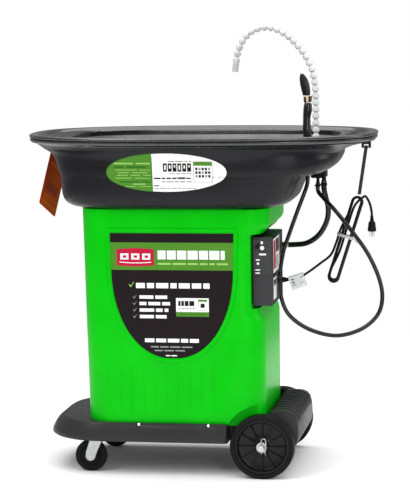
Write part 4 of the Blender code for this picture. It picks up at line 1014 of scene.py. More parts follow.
def shield_label():
    """The black shield: a lime band with a red badge, ticked lines and a small two-tone card."""
    bm = bmesh.new()
    middle = SHIELD_MIDDLE[0]
    rows = []
    for step in range(61):
        z = 0.376 + (0.7725 - 0.376) * (step / 60) ** 1.15
        half = shield_half(z)
        rows.append([tank_face(middle + half * (column / 12 - 1),
                               z) - Vector((0, 0.0003, 0)) for column in range(25)])
    grid_into(bm, rows, 4)
    band = []
    for step in range(7):
        z = 0.656 + 0.087 * step / 6
        half = shield_half(z)
        band.append([tank_face(middle + half * side, z) - Vector((0, 0.0005, 0)) for side in (-1, 0, 1)])
    grid_into(bm, band, 0)

    def badge_low(x):
        return 0.6705 - 0.0035 * math.cos((x + 0.183) * 26)

    def badge_high(x):
        return 0.7215 + 0.0035 * math.cos((x + 0.183) * 26)

    film(bm, tank_face, -0.2426, -0.1234, badge_low, badge_high, 0.0008, 6, 0.005)
    film(bm, tank_face, -0.234, -0.132, lambda x: badge_low(x) + 0.01, lambda x: badge_low(x) + 0.0125,
         0.001, 3)
    for x in (-0.231, -0.196, -0.161):
        film(bm, tank_face, x, x + 0.026, 0.689, 0.708, 0.001, 3, 0.006)
        film(bm, tank_face, x + 0.008, x + 0.019, 0.6945, 0.7025, 0.0012, 6, 0.006)
    strokes(bm, tank_face, -0.1116, 0.1119, 0.69, 0.718, 0.0008, 3, 5, 0.024)
    strokes(bm, tank_face, -0.1116, 0.1119, 0.673, 0.679, 0.0008, 1, 6, 0.034)
    strokes(bm, tank_face, -0.1824, 0.0694, 0.5985, 0.615, 0.0008, 3, 7, 0.036)
    tick(bm, -0.205, 0.601, 0.016, 1)
    for number, right in enumerate((-0.0743, -0.0743, -0.08, -0.086)):
        z = 0.565 - 0.0207 * number
        strokes(bm, tank_face, -0.172, right, z, z + 0.0105, 0.0008, 3, 20 + number, 0.034)
        tick(bm, -0.193, z, 0.011, 5)
    film(bm, tank_face, -0.0552, 0.0491, 0.5095, 0.568, 0.0008, 3)
    film(bm, tank_face, -0.0552, 0.0491, 0.5095, 0.524, 0.001, 0)
    strokes(bm, tank_face, -0.045, 0.038, 0.5145, 0.518, 0.0012, 2, 30, 0.024)
    strokes(bm, tank_face, -0.048, 0.008, 0.543, 0.559, 0.001, 4, 31, 0.014)
    strokes(bm, tank_face, -0.048, 0.008, 0.533, 0.536, 0.001, 5, 32, 0.014)
    film(bm, tank_face, 0.015, 0.044, 0.529, 0.564, 0.001, 5)
    film(bm, tank_face, 0.016, 0.043, 0.53, 0.563, 0.0012, 3)
    film(bm, tank_face, 0.016, 0.043, 0.557, 0.563, 0.0014, 0)
    film(bm, tank_face, 0.023, 0.036, 0.538, 0.551, 0.0014, 4)
    strokes(bm, tank_face, -0.1568, 0.0159, 0.4265, 0.4385, 0.0008, 3, 33, 0.03)
    strokes(bm, tank_face, -0.138, -0.0034, 0.41, 0.414, 0.0008, 5, 34, 0.026)
    strokes(bm, tank_face, -0.1254, -0.0196, 0.3985, 0.4022, 0.0008, 5, 35, 0.026)
    strokes(bm, tank_face, -0.0903, -0.055, 0.3825, 0.386, 0.0008, 3, 36, 0.018)
    label_piece("shield_label", bm, INKS)


def tick(bm, x, z, size, index):
    """A small check mark on the shield."""
    lines = [[(0.0, 0.45), (0.35, 0.0), (1.0, 1.0)], [(0.0, 0.72), (0.35, 0.3), (1.0, 1.15)]]
    lift = Vector((0, 0.0009, 0))
    rows = [[tank_face(x + a * size, z + b * size) - lift for a, b in line] for line in lines]
    grid_into(bm, rows, index)


# ---------------------------------------------------------------- tank


def rounded(left, right, half_depth, left_radius, right_radius, height, steps=14):
    """A rectangle outline whose left and right corners have their own radii."""
    corners = [
        (right - right_radius, half_depth - right_radius, right_radius, 0),
        (left + left_radius, half_depth - left_radius, left_radius, 90),
        (left + left_radius, left_radius - half_depth, left_radius, 180),
        (right - right_radius, right_radius - half_depth, right_radius, 270),
    ]
    ring = []
    for x, y, radius, start in corners:
        ring += [Vector((px, py, height)) for px, py in arc((x, y), radius, start, start + 90, steps)]
    return ring


def tank_ring(inset, right, height):
    left = TANK_LEFT + TANK_TAPER * (TANK_TOP - height)
    corners = (TANK_LEFT_CORNER - inset, TANK_RIGHT_CORNER - inset)
    return rounded(left + inset, right - inset, TANK_HALF_DEPTH - inset, *corners, height)


def tank_outline(inset):
    """The tank's outline at each height; the right side steps in behind the control box."""
    steps = [
        (TANK_RIGHT, TANK_BOTTOM + 0.01), (TANK_RIGHT, 0.485), (TANK_RIGHT - 0.003, 0.5),
        (TANK_RIGHT - 0.015, 0.52),
        (TANK_RIGHT - 0.015, 0.745), (TANK_RIGHT - 0.004, 0.772), (COLLAR_RIGHT - 0.005, 0.787),
        (COLLAR_RIGHT, 0.8),
    ]
    return [tank_ring(inset, right, height) for right, height in steps]


def tank():
    wall = TANK_WALL
    foot = [tank_ring(0.006, TANK_RIGHT, TANK_BOTTOM), tank_ring(0.0018, TANK_RIGHT, TANK_BOTTOM + 0.0025)]
    lip = [tank_ring(0, COLLAR_RIGHT, TANK_TOP - 0.002), tank_ring(0.0015, COLLAR_RIGHT, TANK_TOP)]
    data = loft("tank_body", [*foot, *tank_outline(0), *lip])
    obj = piece("tank_body", data, tank_green(), "tank", ["tank_shell"])
    inner = tank_outline(wall)
    inner[0] = tank_ring(wall, TANK_RIGHT, TANK_BOTTOM + wall)
    inner.append(tank_ring(wall, COLLAR_RIGHT, 0.87))
    hollow = bpy.data.objects.new("hollow", loft("hollow", inner))
    bpy.context.scene.collection.objects.link(hollow)
    carve(hollow, slabs("kept", [((NOTCH_LEFT - wall, -0.31, 0.525), (0.31, 0.31, 0.773))]))
    for side in (-1, 1):
        behind = ((AXLE.x, side * 0.198, AXLE.z), (AXLE.x, side * 0.27, AXLE.z))
        carve(hollow, rods("arch_wall", [behind], ARCH_RADIUS + wall, 96))
    carve(obj, hollow.data.copy())
    bpy.data.objects.remove(hollow)
    carve(obj, notch_block(((NOTCH_LEFT, -0.3, 0.531), (0.3, 0.3, 0.767)), 0.008))
    arches = [((AXLE.x, side * 0.204, AXLE.z), (AXLE.x, side * 0.26, AXLE.z)) for side in (-1, 1)]
    carve(obj, rods("arches", arches, ARCH_RADIUS, 96))
    carve(obj, shield_slab(1.045, TANK_FRONT - 0.004, TANK_FRONT + 0.003), "UNION")
    carve(obj, shield_slab(1.0, TANK_FRONT - 0.01, SHIELD_FACE))
    flutes = []
    for i in range(10):
        x = -0.275 + 0.037 * i
        flutes.append(((x, TANK_FRONT - 0.0035, 0.205), (x, TANK_FRONT - 0.0035, 0.352)))
    carve(obj, rods("flutes", flutes, 0.005, 20))
    carve(obj, rods("port", [((0.14, 0.095, 0.7), (0.2, 0.095, 0.7))], 0.009, 32))
    round_edges(obj, 0.0025, 3, 45)


def notch_block(corners, width):
    """The recess for the control box as a block with rounded long edges."""
    bm = bmesh.new()
    slab_into(bm, *corners)
    edges = [e for e in bm.edges if abs((e.verts[0].co - e.verts[1].co).z) < 1e-6]
    bmesh.ops.bevel(bm, geom=edges, offset=width, segments=4, affect="EDGES", profile=0.5)
    return to_mesh(bm, "notch")


def arch_lips():
    """A raised bead along each wheel arch."""
    for word, side in (("near", -1), ("far", 1)):
        points = []
        for step in range(33):
            angle = math.radians(58 + 92 * step / 32)
            points.append(Vector((AXLE.x + (ARCH_RADIUS + 0.002) * math.cos(angle),
                                  side * (TANK_HALF_DEPTH - 0.0015),
                                  AXLE.z + (ARCH_RADIUS + 0.002) * math.sin(angle))))
        points = [p for p in points if p.x < 0.165 and p.z > TANK_BOTTOM + 0.006]
        tube(f"{word}_arch_lip", points, 0.0035, tank_green(), "tank")


# ---------------------------------------------------------------- dolly


def step_profile(y):
    """The side outline of the tongue with the axle boss and the foot step."""
    foot = [(0.06, 0.11), (0.165, 0.11), (0.176, 0.096), (0.19, 0.084), (0.296, 0.0855), (0.308, 0.09),
            (0.317, 0.1)]
    tread = [(0.3225, 0.125), (0.3215, 0.165), (0.316, 0.186), (0.307, 0.1975), (0.294, 0.2035),
             (0.278, 0.2058),
             (0.245, 0.205), (0.233, 0.2), (0.226, 0.19), (0.2235, 0.18), (0.2235, 0.158), (0.06, 0.158)]
    return [Vector((x, y, z)) for x, z in foot + tread]


def dolly():
    shapes = [
        (-0.495, 0.244, 0.188, BASE_BOTTOM), (-0.4985, 0.2475, 0.19, BASE_BOTTOM + 0.003),
        (-0.499, 0.248, 0.19, 0.115),
        (-0.496, 0.2472, 0.19, 0.126), (-0.4895, 0.2455, 0.188, 0.138), (-0.484, 0.2435, 0.185, 0.147),
        (-0.477, 0.2415, 0.182, 0.156), (-0.47, 0.2395, 0.179, 0.1625), (-0.461, 0.238, 0.175, BASE_TOP),
    ]
    rings = [rounded(left, BASE_MAIN_RIGHT, deep, corner, 0.012, z, 16) for left, deep, corner, z in shapes]
    obj = piece("dolly_base", loft("dolly_base", rings, 40), base_black(), "tank",
                ["base_dolly"])
    carve(obj, loft("tongue", [step_profile(-TONGUE_HALF), step_profile(TONGUE_HALF)], 40), "UNION")
    seat = [tank_ring(-0.0008, TANK_RIGHT, z) for z in (TANK_BOTTOM - 0.0003, 0.19)]
    carve(obj, loft("seat", seat))
    under = [rounded(-0.485, 0.096, 0.234, 0.18, 0.01, 0.08, 16),
             rounded(-0.474, 0.096, 0.23, 0.175, 0.01, 0.15, 16)]
    carve(obj, loft("under", under))
    inside = TONGUE_HALF - 0.012
    carve(obj, slabs("tunnel", [((0.088, -inside, 0.05), (0.23, inside, 0.149))]))
    carve(obj, slabs("step_room", [((0.22, -inside, 0.04), (0.31, inside, 0.148))]))
    carve(obj, rods("axle_hole", [((AXLE.x, -0.25, AXLE.z), (AXLE.x, 0.25, AXLE.z))], 0.0098, 40))
    for side in (-1, 1):
        ends = [((x, side * 0.2345, 0.1638), (x, side * 0.26, 0.1638)) for x in (-0.18, 0.043)]
        carve(obj, rods("bolt_notch", ends, 0.0085, 32))
    round_edges(obj, 0.0018, 2, 50)


def step_treads():
    """Curved grip ribs that follow the foot step's rounded top."""
    for number in range(9):
        y = -0.152 + 0.038 * number
        route = smooth_route([(0.234, y, 0.2015), (0.245, y, 0.2058), (0.278, y, 0.2068), (0.2945, y, 0.2042),
                              (0.307, y, 0.198), (0.316, y, 0.1865), (0.3205, y, 0.166)], 0.004)
        tube(f"step_tread_{number + 1}", route, 0.0024, base_black(), "tank", (), 3)


def base_bolts():
    profile = [(0, 0.23), (0.0031, 0.23), (0.0031, 0.2348), (0.006, 0.2348)]
    profile += [(0.006 * math.cos(a), 0.2353 + 0.0042 * math.sin(a)) for a in (0.0, 0.35, 0.7, 1.05, 1.35)]
    profile += [(0, 0.2396)]
    for word, x in (("left", -0.18), ("right", 0.043)):
        place = Matrix.Translation((x, 0, 0.1628)) @ QUARTER_TURN
        bright = surface("bolt_bright", (0.86, 0.87, 0.88), 0.22, 0.85, grain=900, relief=0.04)
        data = lathe(f"dome_bolt_{word}", profile, 24, place=place)
        piece(f"dome_bolt_{word}", data, bright, "tank", [f"base_bolt_{word}"])


def wheel_place(side):
    return Matrix.Translation(AXLE) @ Matrix.Rotation(math.radians(-90 * side), 4, "X")


def wheels():
    """Each wheel: a dished and ribbed hub, a tyre, a washer and a hairpin clip."""
    hub = [(0.0098, 0.1908), (0.018, 0.1908), (0.0188, 0.2), (0.019, 0.228), (0.073, 0.231), (0.078, 0.224),
           (0.0795, 0.218), (0.086, 0.218)]
    hub += [(0.086, 0.2545), (0.085, 0.2556), (0.0825, 0.256), (0.08, 0.2556), (0.0785, 0.254)]
    hub += [(0.077, 0.248), (0.0745, 0.242), (0.0715, 0.2402), (0.048, 0.2392), (0.027, 0.24),
            (0.0225, 0.243), (0.0205, 0.252)]
    hub += [(0.0192, 0.2556), (0.018, 0.256), (0.0098, 0.256)]
    tyre = [(0.0863, 0.215), (0.093, 0.215), *arc((0.0946, 0.222), 0.007, -90, 0, 8)[1:]]
    tyre += [(0.1016, 0.23), (0.101, 0.2312), (0.101, 0.2328), (0.1016, 0.234), (0.1016, 0.24),
             (0.101, 0.2412), (0.101, 0.2428), (0.1016, 0.244)]
    tyre += [*arc((0.0956, 0.252), 0.006, 0, 80, 8), (0.0935, 0.2588), (0.0915, 0.258), (0.09, 0.2578),
             (0.0885, 0.2588), (0.0863, 0.259)]
    washer = [(0.0098, 0.2565), (0.0162, 0.2565), (0.0165, 0.2568), (0.0165, 0.2582), (0.0162, 0.2585),
              (0.0098, 0.2585)]
    stations = ((0.0185, 0.0022, 0.253), (0.03, 0.002, 0.25), (0.06, 0.0018, 0.249), (0.078, 0.002, 0.252))
    for word, side in (("near", -1), ("far", 1)):
        body = f"{word}_wheel"
        place = wheel_place(side)
        bm = bmesh.new()
        lathe_into(bm, hub, WHEEL_SIDES, place, closed=True)
        for i in range(12):
            turned = place @ Matrix.Rotation(math.pi * i / 6, 4, "Z")
            rib = []
            for x, w, top in stations:
                foot = ((-w, 0.2385), (w, 0.2385), (w * 0.55, top), (-w * 0.55, top))
                rib.append([turned @ Vector((x, y, z)) for y, z in foot])
            skin(bm, rib)
        data = to_mesh(bm, f"{word}_hub")
        piece(f"{word}_hub", data, hub_black(), body, [f"{word}_wheel_hub"])
        data = lathe(f"{word}_tyre", tyre, WHEEL_SIDES, True, place)
        piece(f"{word}_tyre", data, tyre_black(), body, [f"{word}_wheel_tyre"])
        data = lathe(f"{word}_washer", washer, 48, True, place)
        piece(f"{word}_washer", data, zinc(), "tank", [f"{word}_axle_washer"])
        x, y, z = AXLE.x, side * 0.2655, AXLE.z
        out = side * 0.003
        route = smooth_route([
            (x, y, z - 0.018), (x, y, z), (x, y, z + 0.018), (x + 0.002, y + out * 0.7, z + 0.027),
            (x + 0.008, y + out, z + 0.031),
            (x + 0.014, y + out, z + 0.026), (x + 0.015, y + out, z + 0.016), (x + 0.014, y + out, z),
            (x + 0.012, y + out, z - 0.012), (x + 0.0145, y + out, z - 0.02)], 0.0016)
        tube(f"{word}_hairpin", route, 0.0017, zinc(), "tank", [f"{word}_hitch_pin"])


def caster(word, side):
    """Zinc plate with a ball race, a pressed fork and a dark wheel on its bolt."""
    x = CASTER_X
    y = side * CASTER_Y
    wheel_x = x - CASTER_TRAIL
    ceiling = 0.1497
    bm = bmesh.new()
    made = slab_into(bm, (x - 0.034, y - 0.03, ceiling - 0.003), (x + 0.034, y + 0.03, ceiling))
    corners = [e for e in dict.fromkeys(e for v in made for e in v.link_edges)
               if abs((e.verts[0].co - e.verts[1].co).z) > 0.002]
    bmesh.ops.bevel(bm, geom=corners, offset=0.006, segments=5, affect="EDGES", profile=0.5)
    race = [(0.005, -0.0165), (0.005, -0.0035), (0.0185, -0.0035), (0.02, -0.002), (0.0205, 0.0)]
    lathe_into(bm, [(0, -0.0165), *race, (0, 0.0)], 40, Matrix.Translation((x, y, ceiling - 0.003)))
    piece(f"{word}_top_plate", to_mesh(bm, f"{word}_top_plate"), zinc(), "tank",
          [f"{word}_caster_plate"])
    bm = bmesh.new()
    crown = [(0.0054, 0.1275), (0.025, 0.1275), (0.0268, 0.1285), (0.028, 0.1315), (0.0276, 0.136),
             (0.0255, 0.141), (0.023, 0.1427), (0.0054, 0.1427)]
    lathe_into(bm, crown, 44, Matrix.Translation((x, y, 0)), closed=True)
    outline = [(-0.0215, 0.13), (0.0245, 0.13), (0.0235, 0.123), (0.0195, 0.114), (0.008, 0.09),
               (-0.003, 0.066), (-0.01, 0.046)]
    outline += [(-CASTER_TRAIL + 0.0155 * math.cos(a), CASTER_RADIUS + 0.0155 * math.sin(a)) for a in (-0.6,
            -1.1, -1.6, -2.1, -2.6, -3.0, -3.4)]
    outline += [(-0.0385, 0.066), (-0.03, 0.09), (-0.0235, 0.114)]
    for edge in (-1, 1):
        faces = [(0.0175, 0.0004), (0.0178, 0.0), (0.0197, 0.0), (0.02, 0.0004)]
        rings = []
        for depth, inset in faces:
            narrow = 1 - inset * 12
            rings.append([Vector((x + px * narrow, y + edge * depth, pz - inset)) for px, pz in outline])
        skin(bm, rings)
    fork = piece(f"{word}_fork", to_mesh(bm, f"{word}_fork"), zinc(), f"{word}_caster",
                 [f"{word}_caster_fork"])
    carve(fork, rods("bolt_hole", [((wheel_x, y - 0.04, CASTER_RADIUS), (wheel_x, y + 0.04, CASTER_RADIUS))],
                     0.0043, 24))
    half = [(0.0044, -0.014), (0.0105, -0.014), (0.0115, -0.0125), (0.015, -0.0085), (0.03, -0.008),
            (0.0335, -0.0105),
            (0.0355, -0.0135), (0.0375, -0.014), *arc((0.0448, -0.008), 0.006, -90, 0, 6)]
    outline = half + [(radius, -depth) for radius, depth in reversed(half)]
    place = Matrix.Translation((wheel_x, y, CASTER_RADIUS)) @ QUARTER_TURN
    data = lathe(f"{word}_roller", outline, 72, True, place)
    piece(f"{word}_roller", data, tyre_black(), f"{word}_caster_roller",
          [f"{word}_caster_wheel"])


# ---------------------------------------------------------------- control box


def control_box():
    low, high = BOX_LOW, BOX_HIGH
    data = soft_slab("box_housing", (low.x, COVER_BACK + 0.0003, low.z), high, 0.0035, 4)
    piece("box_housing", data, box_black(), "tank", ["control_housing"])
    cover = piece("box_cover", soft_slab("box_cover", low, (high.x, COVER_BACK, high.z), 0.003, 4),
                  box_grey(), "tank", ["control_cover"])
    front = low.y
    carve(cover, rods("button_hole", [((BUTTON[0], front - 0.01, BUTTON[1]),
                                       (BUTTON[0], front + 0.006, BUTTON[1]))], 0.0073, 40))
    carve(cover, slabs("lens_hole", [((0.204, front - 0.01, 0.6995), (0.227, front + 0.005, 0.7065))]))
    carve(cover, slabs("panel_step", [((low.x - 0.01, front - 0.01, 0.633),
                                       (high.x + 0.01, front + 0.0008, 0.6355))]))
    button = [(0, -0.003), (0.0069, -0.003), (0.0069, 0.0016), (0.0064, 0.0023), (0.005, 0.0026),
              (0.0042, 0.0021), (0, 0.0017)]
    place = Matrix.Translation((BUTTON[0], front, BUTTON[1])) @ QUARTER_TURN
    data = lathe("push_button", button, 40, place=place)
    piece("push_button", data, white_plastic(), "button", ["power_button"])
    lens = soft_slab("status_lens", (0.2044, front - 0.0004, 0.6999), (0.2266, front + 0.0046, 0.7061),
                     0.0008, 2)
    glow = surface("lens_pale", (0.86, 0.84, 0.84), 0.18, grain=400, relief=0.02, mottle=0.06)
    piece("status_lens", lens, glow, "tank", ["status_window"])
    for number, (x, z) in enumerate(((0.189, 0.75), (0.24, 0.75), (0.189, 0.547), (0.24, 0.547))):
        head = [(0, 0.0008), (0.0016, 0.0008), (0.0018, 0.0014), (0.003, 0.0012), (0.003, -0.0005),
                (0, -0.0005)]
        place = Matrix.Translation((x, front, z)) @ QUARTER_TURN
        piece(f"cover_screw_{number + 1}", lathe("screw", head, 20, place=place), box_grey(), "tank")
    box_marks()
    gland_nut()


def box_front(x, z):
    return Vector((x, BOX_LOW.y, z))


def side_film(bm, start, stop, low, high, lift, index):
    rows = [[Vector((BOX_HIGH.x + lift, y, z)) for y in (start, stop)] for z in (low, high)]
    grid_into(bm, rows, index)


def box_marks():
    """Plain pictogram shapes on the front and blank coloured strips on the right side."""
    bm = bmesh.new()
    panels = ((0.1865, 0.2425, 0.638, 0.6985), (0.1865, 0.203, 0.6985, 0.7315),
              (0.228, 0.2425, 0.6985, 0.7315), (0.1865, 0.2425, 0.7315, 0.748))
    for left, right, low, high in panels:
        film(bm, box_front, left, right, low, high, 0.0002, 5)
    for x, z, half_x, half_z, index in (
            (0.2135, 0.74, 0.004, 0.0045, 3), (0.2005, 0.6855, 0.007, 0.002, 3),
            (0.2005, 0.674, 0.0042, 0.0036, 3),
            (0.1995, 0.654, 0.009, 0.0018, 3), (0.1995, 0.644, 0.008, 0.002, 3)):
        film(bm, box_front, x - half_x, x + half_x,
             lambda q, x=x, z=z, a=half_x, b=half_z: z - b * max(0.0, 1 - ((q - x) / a) ** 4) ** 0.5,
             lambda q, x=x, z=z, a=half_x, b=half_z: z + b * max(0.0, 1 - ((q - x) / a) ** 4) ** 0.5,
             0.0004, index, half_x / 4)
    film(bm, box_front, 0.192, 0.206, lambda x: 0.718 + 0.35 * (x - 0.192),
         lambda x: 0.733 + 0.5 * (x - 0.192), 0.0004, 4, 0.004)
    side_film(bm, -0.166, -0.03, 0.64, 0.748, 0.0003, 3)
    side_film(bm, -0.16, -0.118, 0.652, 0.742, 0.0005, 6)
    side_film(bm, -0.108, -0.04, 0.7, 0.742, 0.0005, 5)
    for number in range(5):
        side_film(bm, -0.108, -0.045, 0.652 + 0.008 * number, 0.655 + 0.008 * number, 0.0005, 4)
    side_film(bm, -0.166, -0.1, 0.556, 0.625, 0.0003, 3)
    side_film(bm, -0.16, -0.106, 0.6, 0.618, 0.0005, 5)
    label_piece("box_marks", bm, [*INKS[:5], ("ink_panel_grey", (0.05, 0.05, 0.054)), RED])


def gland_nut():
    """The gland: a six-sided nut and a domed cap round the cord."""
    place = frame_at(GLAND, Vector((1, 0, 0)))
    bm = bmesh.new()
    lathe_into(bm, [(0.0041, -0.006), (0.0064, -0.006), (0.0064, 0.0005), (0.0041, 0.0005)], 32, place,
               closed=True)
    lathe_into(bm, [(0.0041, 0.0005), (0.0106, 0.0005), (0.011, 0.001), (0.011, 0.0056), (0.0104, 0.006),
                    (0.0041, 0.006)], 6, place, closed=True)
    lathe_into(bm, [(0.0041, 0.006), (0.0086, 0.006), (0.0084, 0.012), (0.0074, 0.0165), (0.006, 0.0185),
                    (0.0041, 0.019)], 32, place, closed=True)
    piece("gland_nut", to_mesh(bm, "gland_nut"), box_black(), "tank", ["cord_gland"])


# ---------------------------------------------------------------- spout and brush


def spout_points():
    """The goose-neck's centre line in the plane of the spout."""
    shape = [
        (0.3617, 0.99), (0.3617, 1.06), (0.3617, 1.115), (0.362, 1.17), (0.36, 1.22),
        (0.353, 1.262), (0.338, 1.3), (0.318, 1.332), (0.293, 1.361), (0.264, 1.385),
        (0.233, 1.401), (0.201, 1.406), (0.169, 1.3985), (0.143, 1.381), (0.124, 1.355),
        (0.112, 1.324), (0.1065, 1.289), (0.104, 1.244),
    ]
    return smooth_route([(x, SPOUT_Y, z) for x, z in shape], 0.001)


def at_distance(points, distance):
    """The point and direction at a distance along even points."""
    place = min(distance / (points[1] - points[0]).length, len(points) - 1.001)
    at = int(place)
    return points[at].lerp(points[at + 1], place - at), (points[at + 1] - points[at]).normalized()


def spout_link(bm, place):
    """One modular link: a socket skirt, a waist and the ball that the next one snaps on."""
    skirt = [(0.009, -0.003), (0.0104, -0.0031), (0.0111, -0.0024), (0.0112, -0.001), (0.0112, 0.001),
             (0.0108, 0.0022)]
    cone = [(0.0104, 0.0045), (0.0098, 0.0075), (0.0088, 0.0105), (0.0074, 0.013), (0.0064, 0.0142),
            (0.0062, 0.0158)]
    ball = [(0.007, 0.0172), (0.0078, 0.019), (0.0081, 0.0212), (0.0078, 0.0232)]
    inner = [(0.005, 0.0236), (0.005, 0.008), (0.0082, 0.003)]
    lathe_into(bm, skirt + cone + ball + inner, 32, place, closed=True)
    for i in range(8):
        turned = place @ Matrix.Rotation(math.pi * i / 4, 4, "Z")
        slab_into(bm, (0.01, -0.0009, 0.0012), (0.01135, 0.0009, 0.0062), turned)


def spout():
    points = spout_points()
    group = LINK_PITCH * LINKS_PER_GROUP
    base = [(0, 0.943), (0.009, 0.943), (0.009, 0.9622), (0.0165, 0.9625), (0.017, 0.9635), (0.017, 0.9735),
            (0.016, 0.975), (0.011, 0.9765), (0.0095, 0.9785), (0.0072, 0.98), (0.005, 0.9822)]
    angles = (-0.45, -0.2, 0.05, 0.3, 0.6, 0.9, 1.2)
    base += [(0.0074 * math.cos(a), 0.99 + 0.0074 * math.sin(a)) for a in angles]
    base += [(0, 0.9974)]
    data = lathe("spout_stem", base, 32, place=Matrix.Translation((SPOUT_X, SPOUT_Y, 0)))
    piece("spout_stem", data, spout_white(), "spout_foot", ["spout_base"])
    for number in range(SPOUT_GROUPS):
        bm = bmesh.new()
        for link in range(LINKS_PER_GROUP):
            point, direction = at_distance(points, number * group + LINK_PITCH * link)
            spout_link(bm, frame_at(point, direction))
        name = f"spout_run_{number + 1}"
        piece(name, to_mesh(bm, name), spout_white(), f"spout_{number + 1}",
              [f"spout_links_{number + 1}"])
    point, direction = at_distance(points, SPOUT_GROUPS * group)
    place = frame_at(point, direction)
    bm = bmesh.new()
    outer = [(0.009, -0.003), (0.0104, -0.0031), (0.0111, -0.0024), (0.0112, 0.003), (0.0106, 0.008),
             (0.0099, 0.0128), (0.0099, 0.0165), (0.0093, 0.0175)]
    tip = [(0.0088, 0.039), (0.0085, 0.0398), (0.0064, 0.0398), (0.0062, 0.02), (0.0082, 0.004)]
    lathe_into(bm, outer + tip, 40, place, closed=True)
    for i in range(10):
        turned = place @ Matrix.Rotation(math.pi * i / 5, 4, "Z")
        slab_into(bm, (0.008, -0.001, 0.0178), (0.01, 0.001, 0.0396), turned)
    piece("spout_tip_nozzle", to_mesh(bm, "spout_tip_nozzle"), spout_white(), "spout_tip",
          ["spout_nozzle"])


def brush():
    x, y, foot = BRUSH
    sleeve = [(0.0078, 0.951), (0.0107, 0.951), (0.0107, 0.9624), (0.0158, 0.9624), (0.0165, 0.9632),
              (0.0165, 0.965), (0.015, 0.9662), (0.0078, 0.9664)]
    data = lathe("brush_sleeve", sleeve, 40, True, Matrix.Translation((x, y, 0)))
    piece("brush_sleeve", data, hose_black(), "tank", ["brush_grommet"])
    bm = bmesh.new()
    sections = [
        (foot, 0.0, 0.0085, 0.0085), (foot + 0.006, 0.0, 0.01, 0.0095), (foot + 0.02, 0.0, 0.0118, 0.0104),
        (1.0, 0.0, 0.0122, 0.0106),
        (1.04, 0.0, 0.0128, 0.011), (1.07, -0.001, 0.0128, 0.011), (1.09, -0.002, 0.0127, 0.011),
        (1.106, -0.002, 0.0122, 0.0104),
        (1.12, -0.002, 0.0118, 0.01), (1.132, -0.001, 0.0126, 0.0108), (1.145, 0.001, 0.0138, 0.0119),
        (1.154, 0.0015, 0.0136, 0.0118),
        (1.16, 0.002, 0.013, 0.0115), (1.166, 0.002, 0.0118, 0.0106), (1.169, 0.002, 0.0105, 0.01),
    ]
    rings = []
    for z, shift, half_x, half_y in eased(sections, 3):
        rings.append([Vector((x + shift + half_x * p.x, y + half_y * p.y, z)) for p in circle(1.0, 0.0, 40)])
    skin(bm, rings)
    for i in range(6):
        z = 1.045 + 0.0085 * i
        hoop = [(1.0, -0.0014), (1.045, -0.0009), (1.045, 0.0009), (1.0, 0.0014)]
        rings = [[Vector((x - 0.001 + 0.0128 * r * p.x, y + 0.011 * r * p.y, z + lift)) for p in circle(1.0,
                0.0, 40)] for r, lift in hoop]
        skin(bm, rings, caps=False)
    for side in (-0.0045, 0.0045):
        made = slab_into(bm, (x + side - 0.0011, y - 0.0112, 0.99), (x + side + 0.0011, y - 0.0098, 1.035))
        soften(bm, made, 0.0005)
    piece("brush_grip", to_mesh(bm, "brush_grip"), hose_black(), "brush", ["brush_handle"])
    place = Matrix.Translation((x + 0.0015, y, 1.1707)) @ Matrix.Rotation(math.radians(-6), 4, "Y")
    ferrule = [(0, 0), (0.01, 0), (0.0118, 0.002), (0.0125, 0.005), (0.0125, 0.0085), (0.012, 0.0095),
               (0.012, 0.0105), (0.0125, 0.0115),
               (0.0125, 0.016), (0.0118, 0.0185), (0.0105, 0.02), (0, 0.02)]
    beige = surface("collar_beige", (0.72, 0.52, 0.34), 0.48, grain=500, relief=0.12, mottle=0.12)
    piece("brush_ferrule", lathe("brush_ferrule", ferrule, 40, place=place), beige, "brush",
          ["brush_collar"])
    bm = bmesh.new()
    for angle in (-2.2, -0.9, 0.5, 1.8):
        spot = place @ Vector((0.0122 * math.cos(angle), 0.0122 * math.sin(angle), 0))
        made = slab_into(bm, (-0.0042, -0.0012, 0.001), (0.0042, 0.0012, 0.019),
                         Matrix.Translation(spot) @ Matrix.Rotation(angle + math.pi / 2, 4, "Z"))
        soften(bm, made, 0.0006)
    piece("ferrule_claws", to_mesh(bm, "ferrule_claws"), hose_black(), "brush")
    bristles()


def bristles():
    """A tuft of leaning filaments on a packed core."""
    x, y, _ = BRUSH
    low = 1.1925
    shape = [(0, 0.011), (0.014, 0.0132), (0.034, 0.0144), (0.052, 0.0122), (0.062, 0.0084), (0.067, 0.004)]

    def radius_at(height):
        for (a, wide), (b, thin) in zip(shape, shape[1:]):
            if a <= height <= b:
                return wide + (thin - wide) * (height - a) / (b - a)
        return shape[-1][1]

    def lean(height):
        return -0.002 - 0.1 * height - 1.6 * height * height

    bm = bmesh.new()
    rings = []
    for height, radius in eased(shape, 2):
        rings.append([Vector((x + lean(height) + 0.86 * radius * p.x, y + 0.77 * radius * p.y,
                              low + height)) for p in circle(1.0, 0.0, 28)])
    skin(bm, rings)
    dice = random.Random(4)
    for number in range(320):
        angle = number * 2.39996
        share = 0.7 + 0.3 * dice.random()
        tall = dice.uniform(0.054, 0.0695)
        rings = []
        for step in range(6):
            height = tall * step / 5
            reach = radius_at(height) * min(1.0, share + 0.04 * step)
            centre = Vector((x + lean(height) + reach * math.cos(angle), y + 0.9 * reach * math.sin(angle),
                             low + height))
            wide = 0.00055 * (1 - 0.5 * step / 5)
            rings.append([centre + Vector((wide * p.x, wide * p.y, 0)) for p in circle(1.0, 0.0, 4)])
        skin(bm, rings)
    fibre = surface("bristle", (0.016, 0.016, 0.018), 0.38, grain=900, relief=0.2, mottle=0.3)
    piece("brush_tuft", to_mesh(bm, "brush_tuft"), fibre, "brush", ["brush_bristles"])


# ---------------------------------------------------------------- port, hook and tag


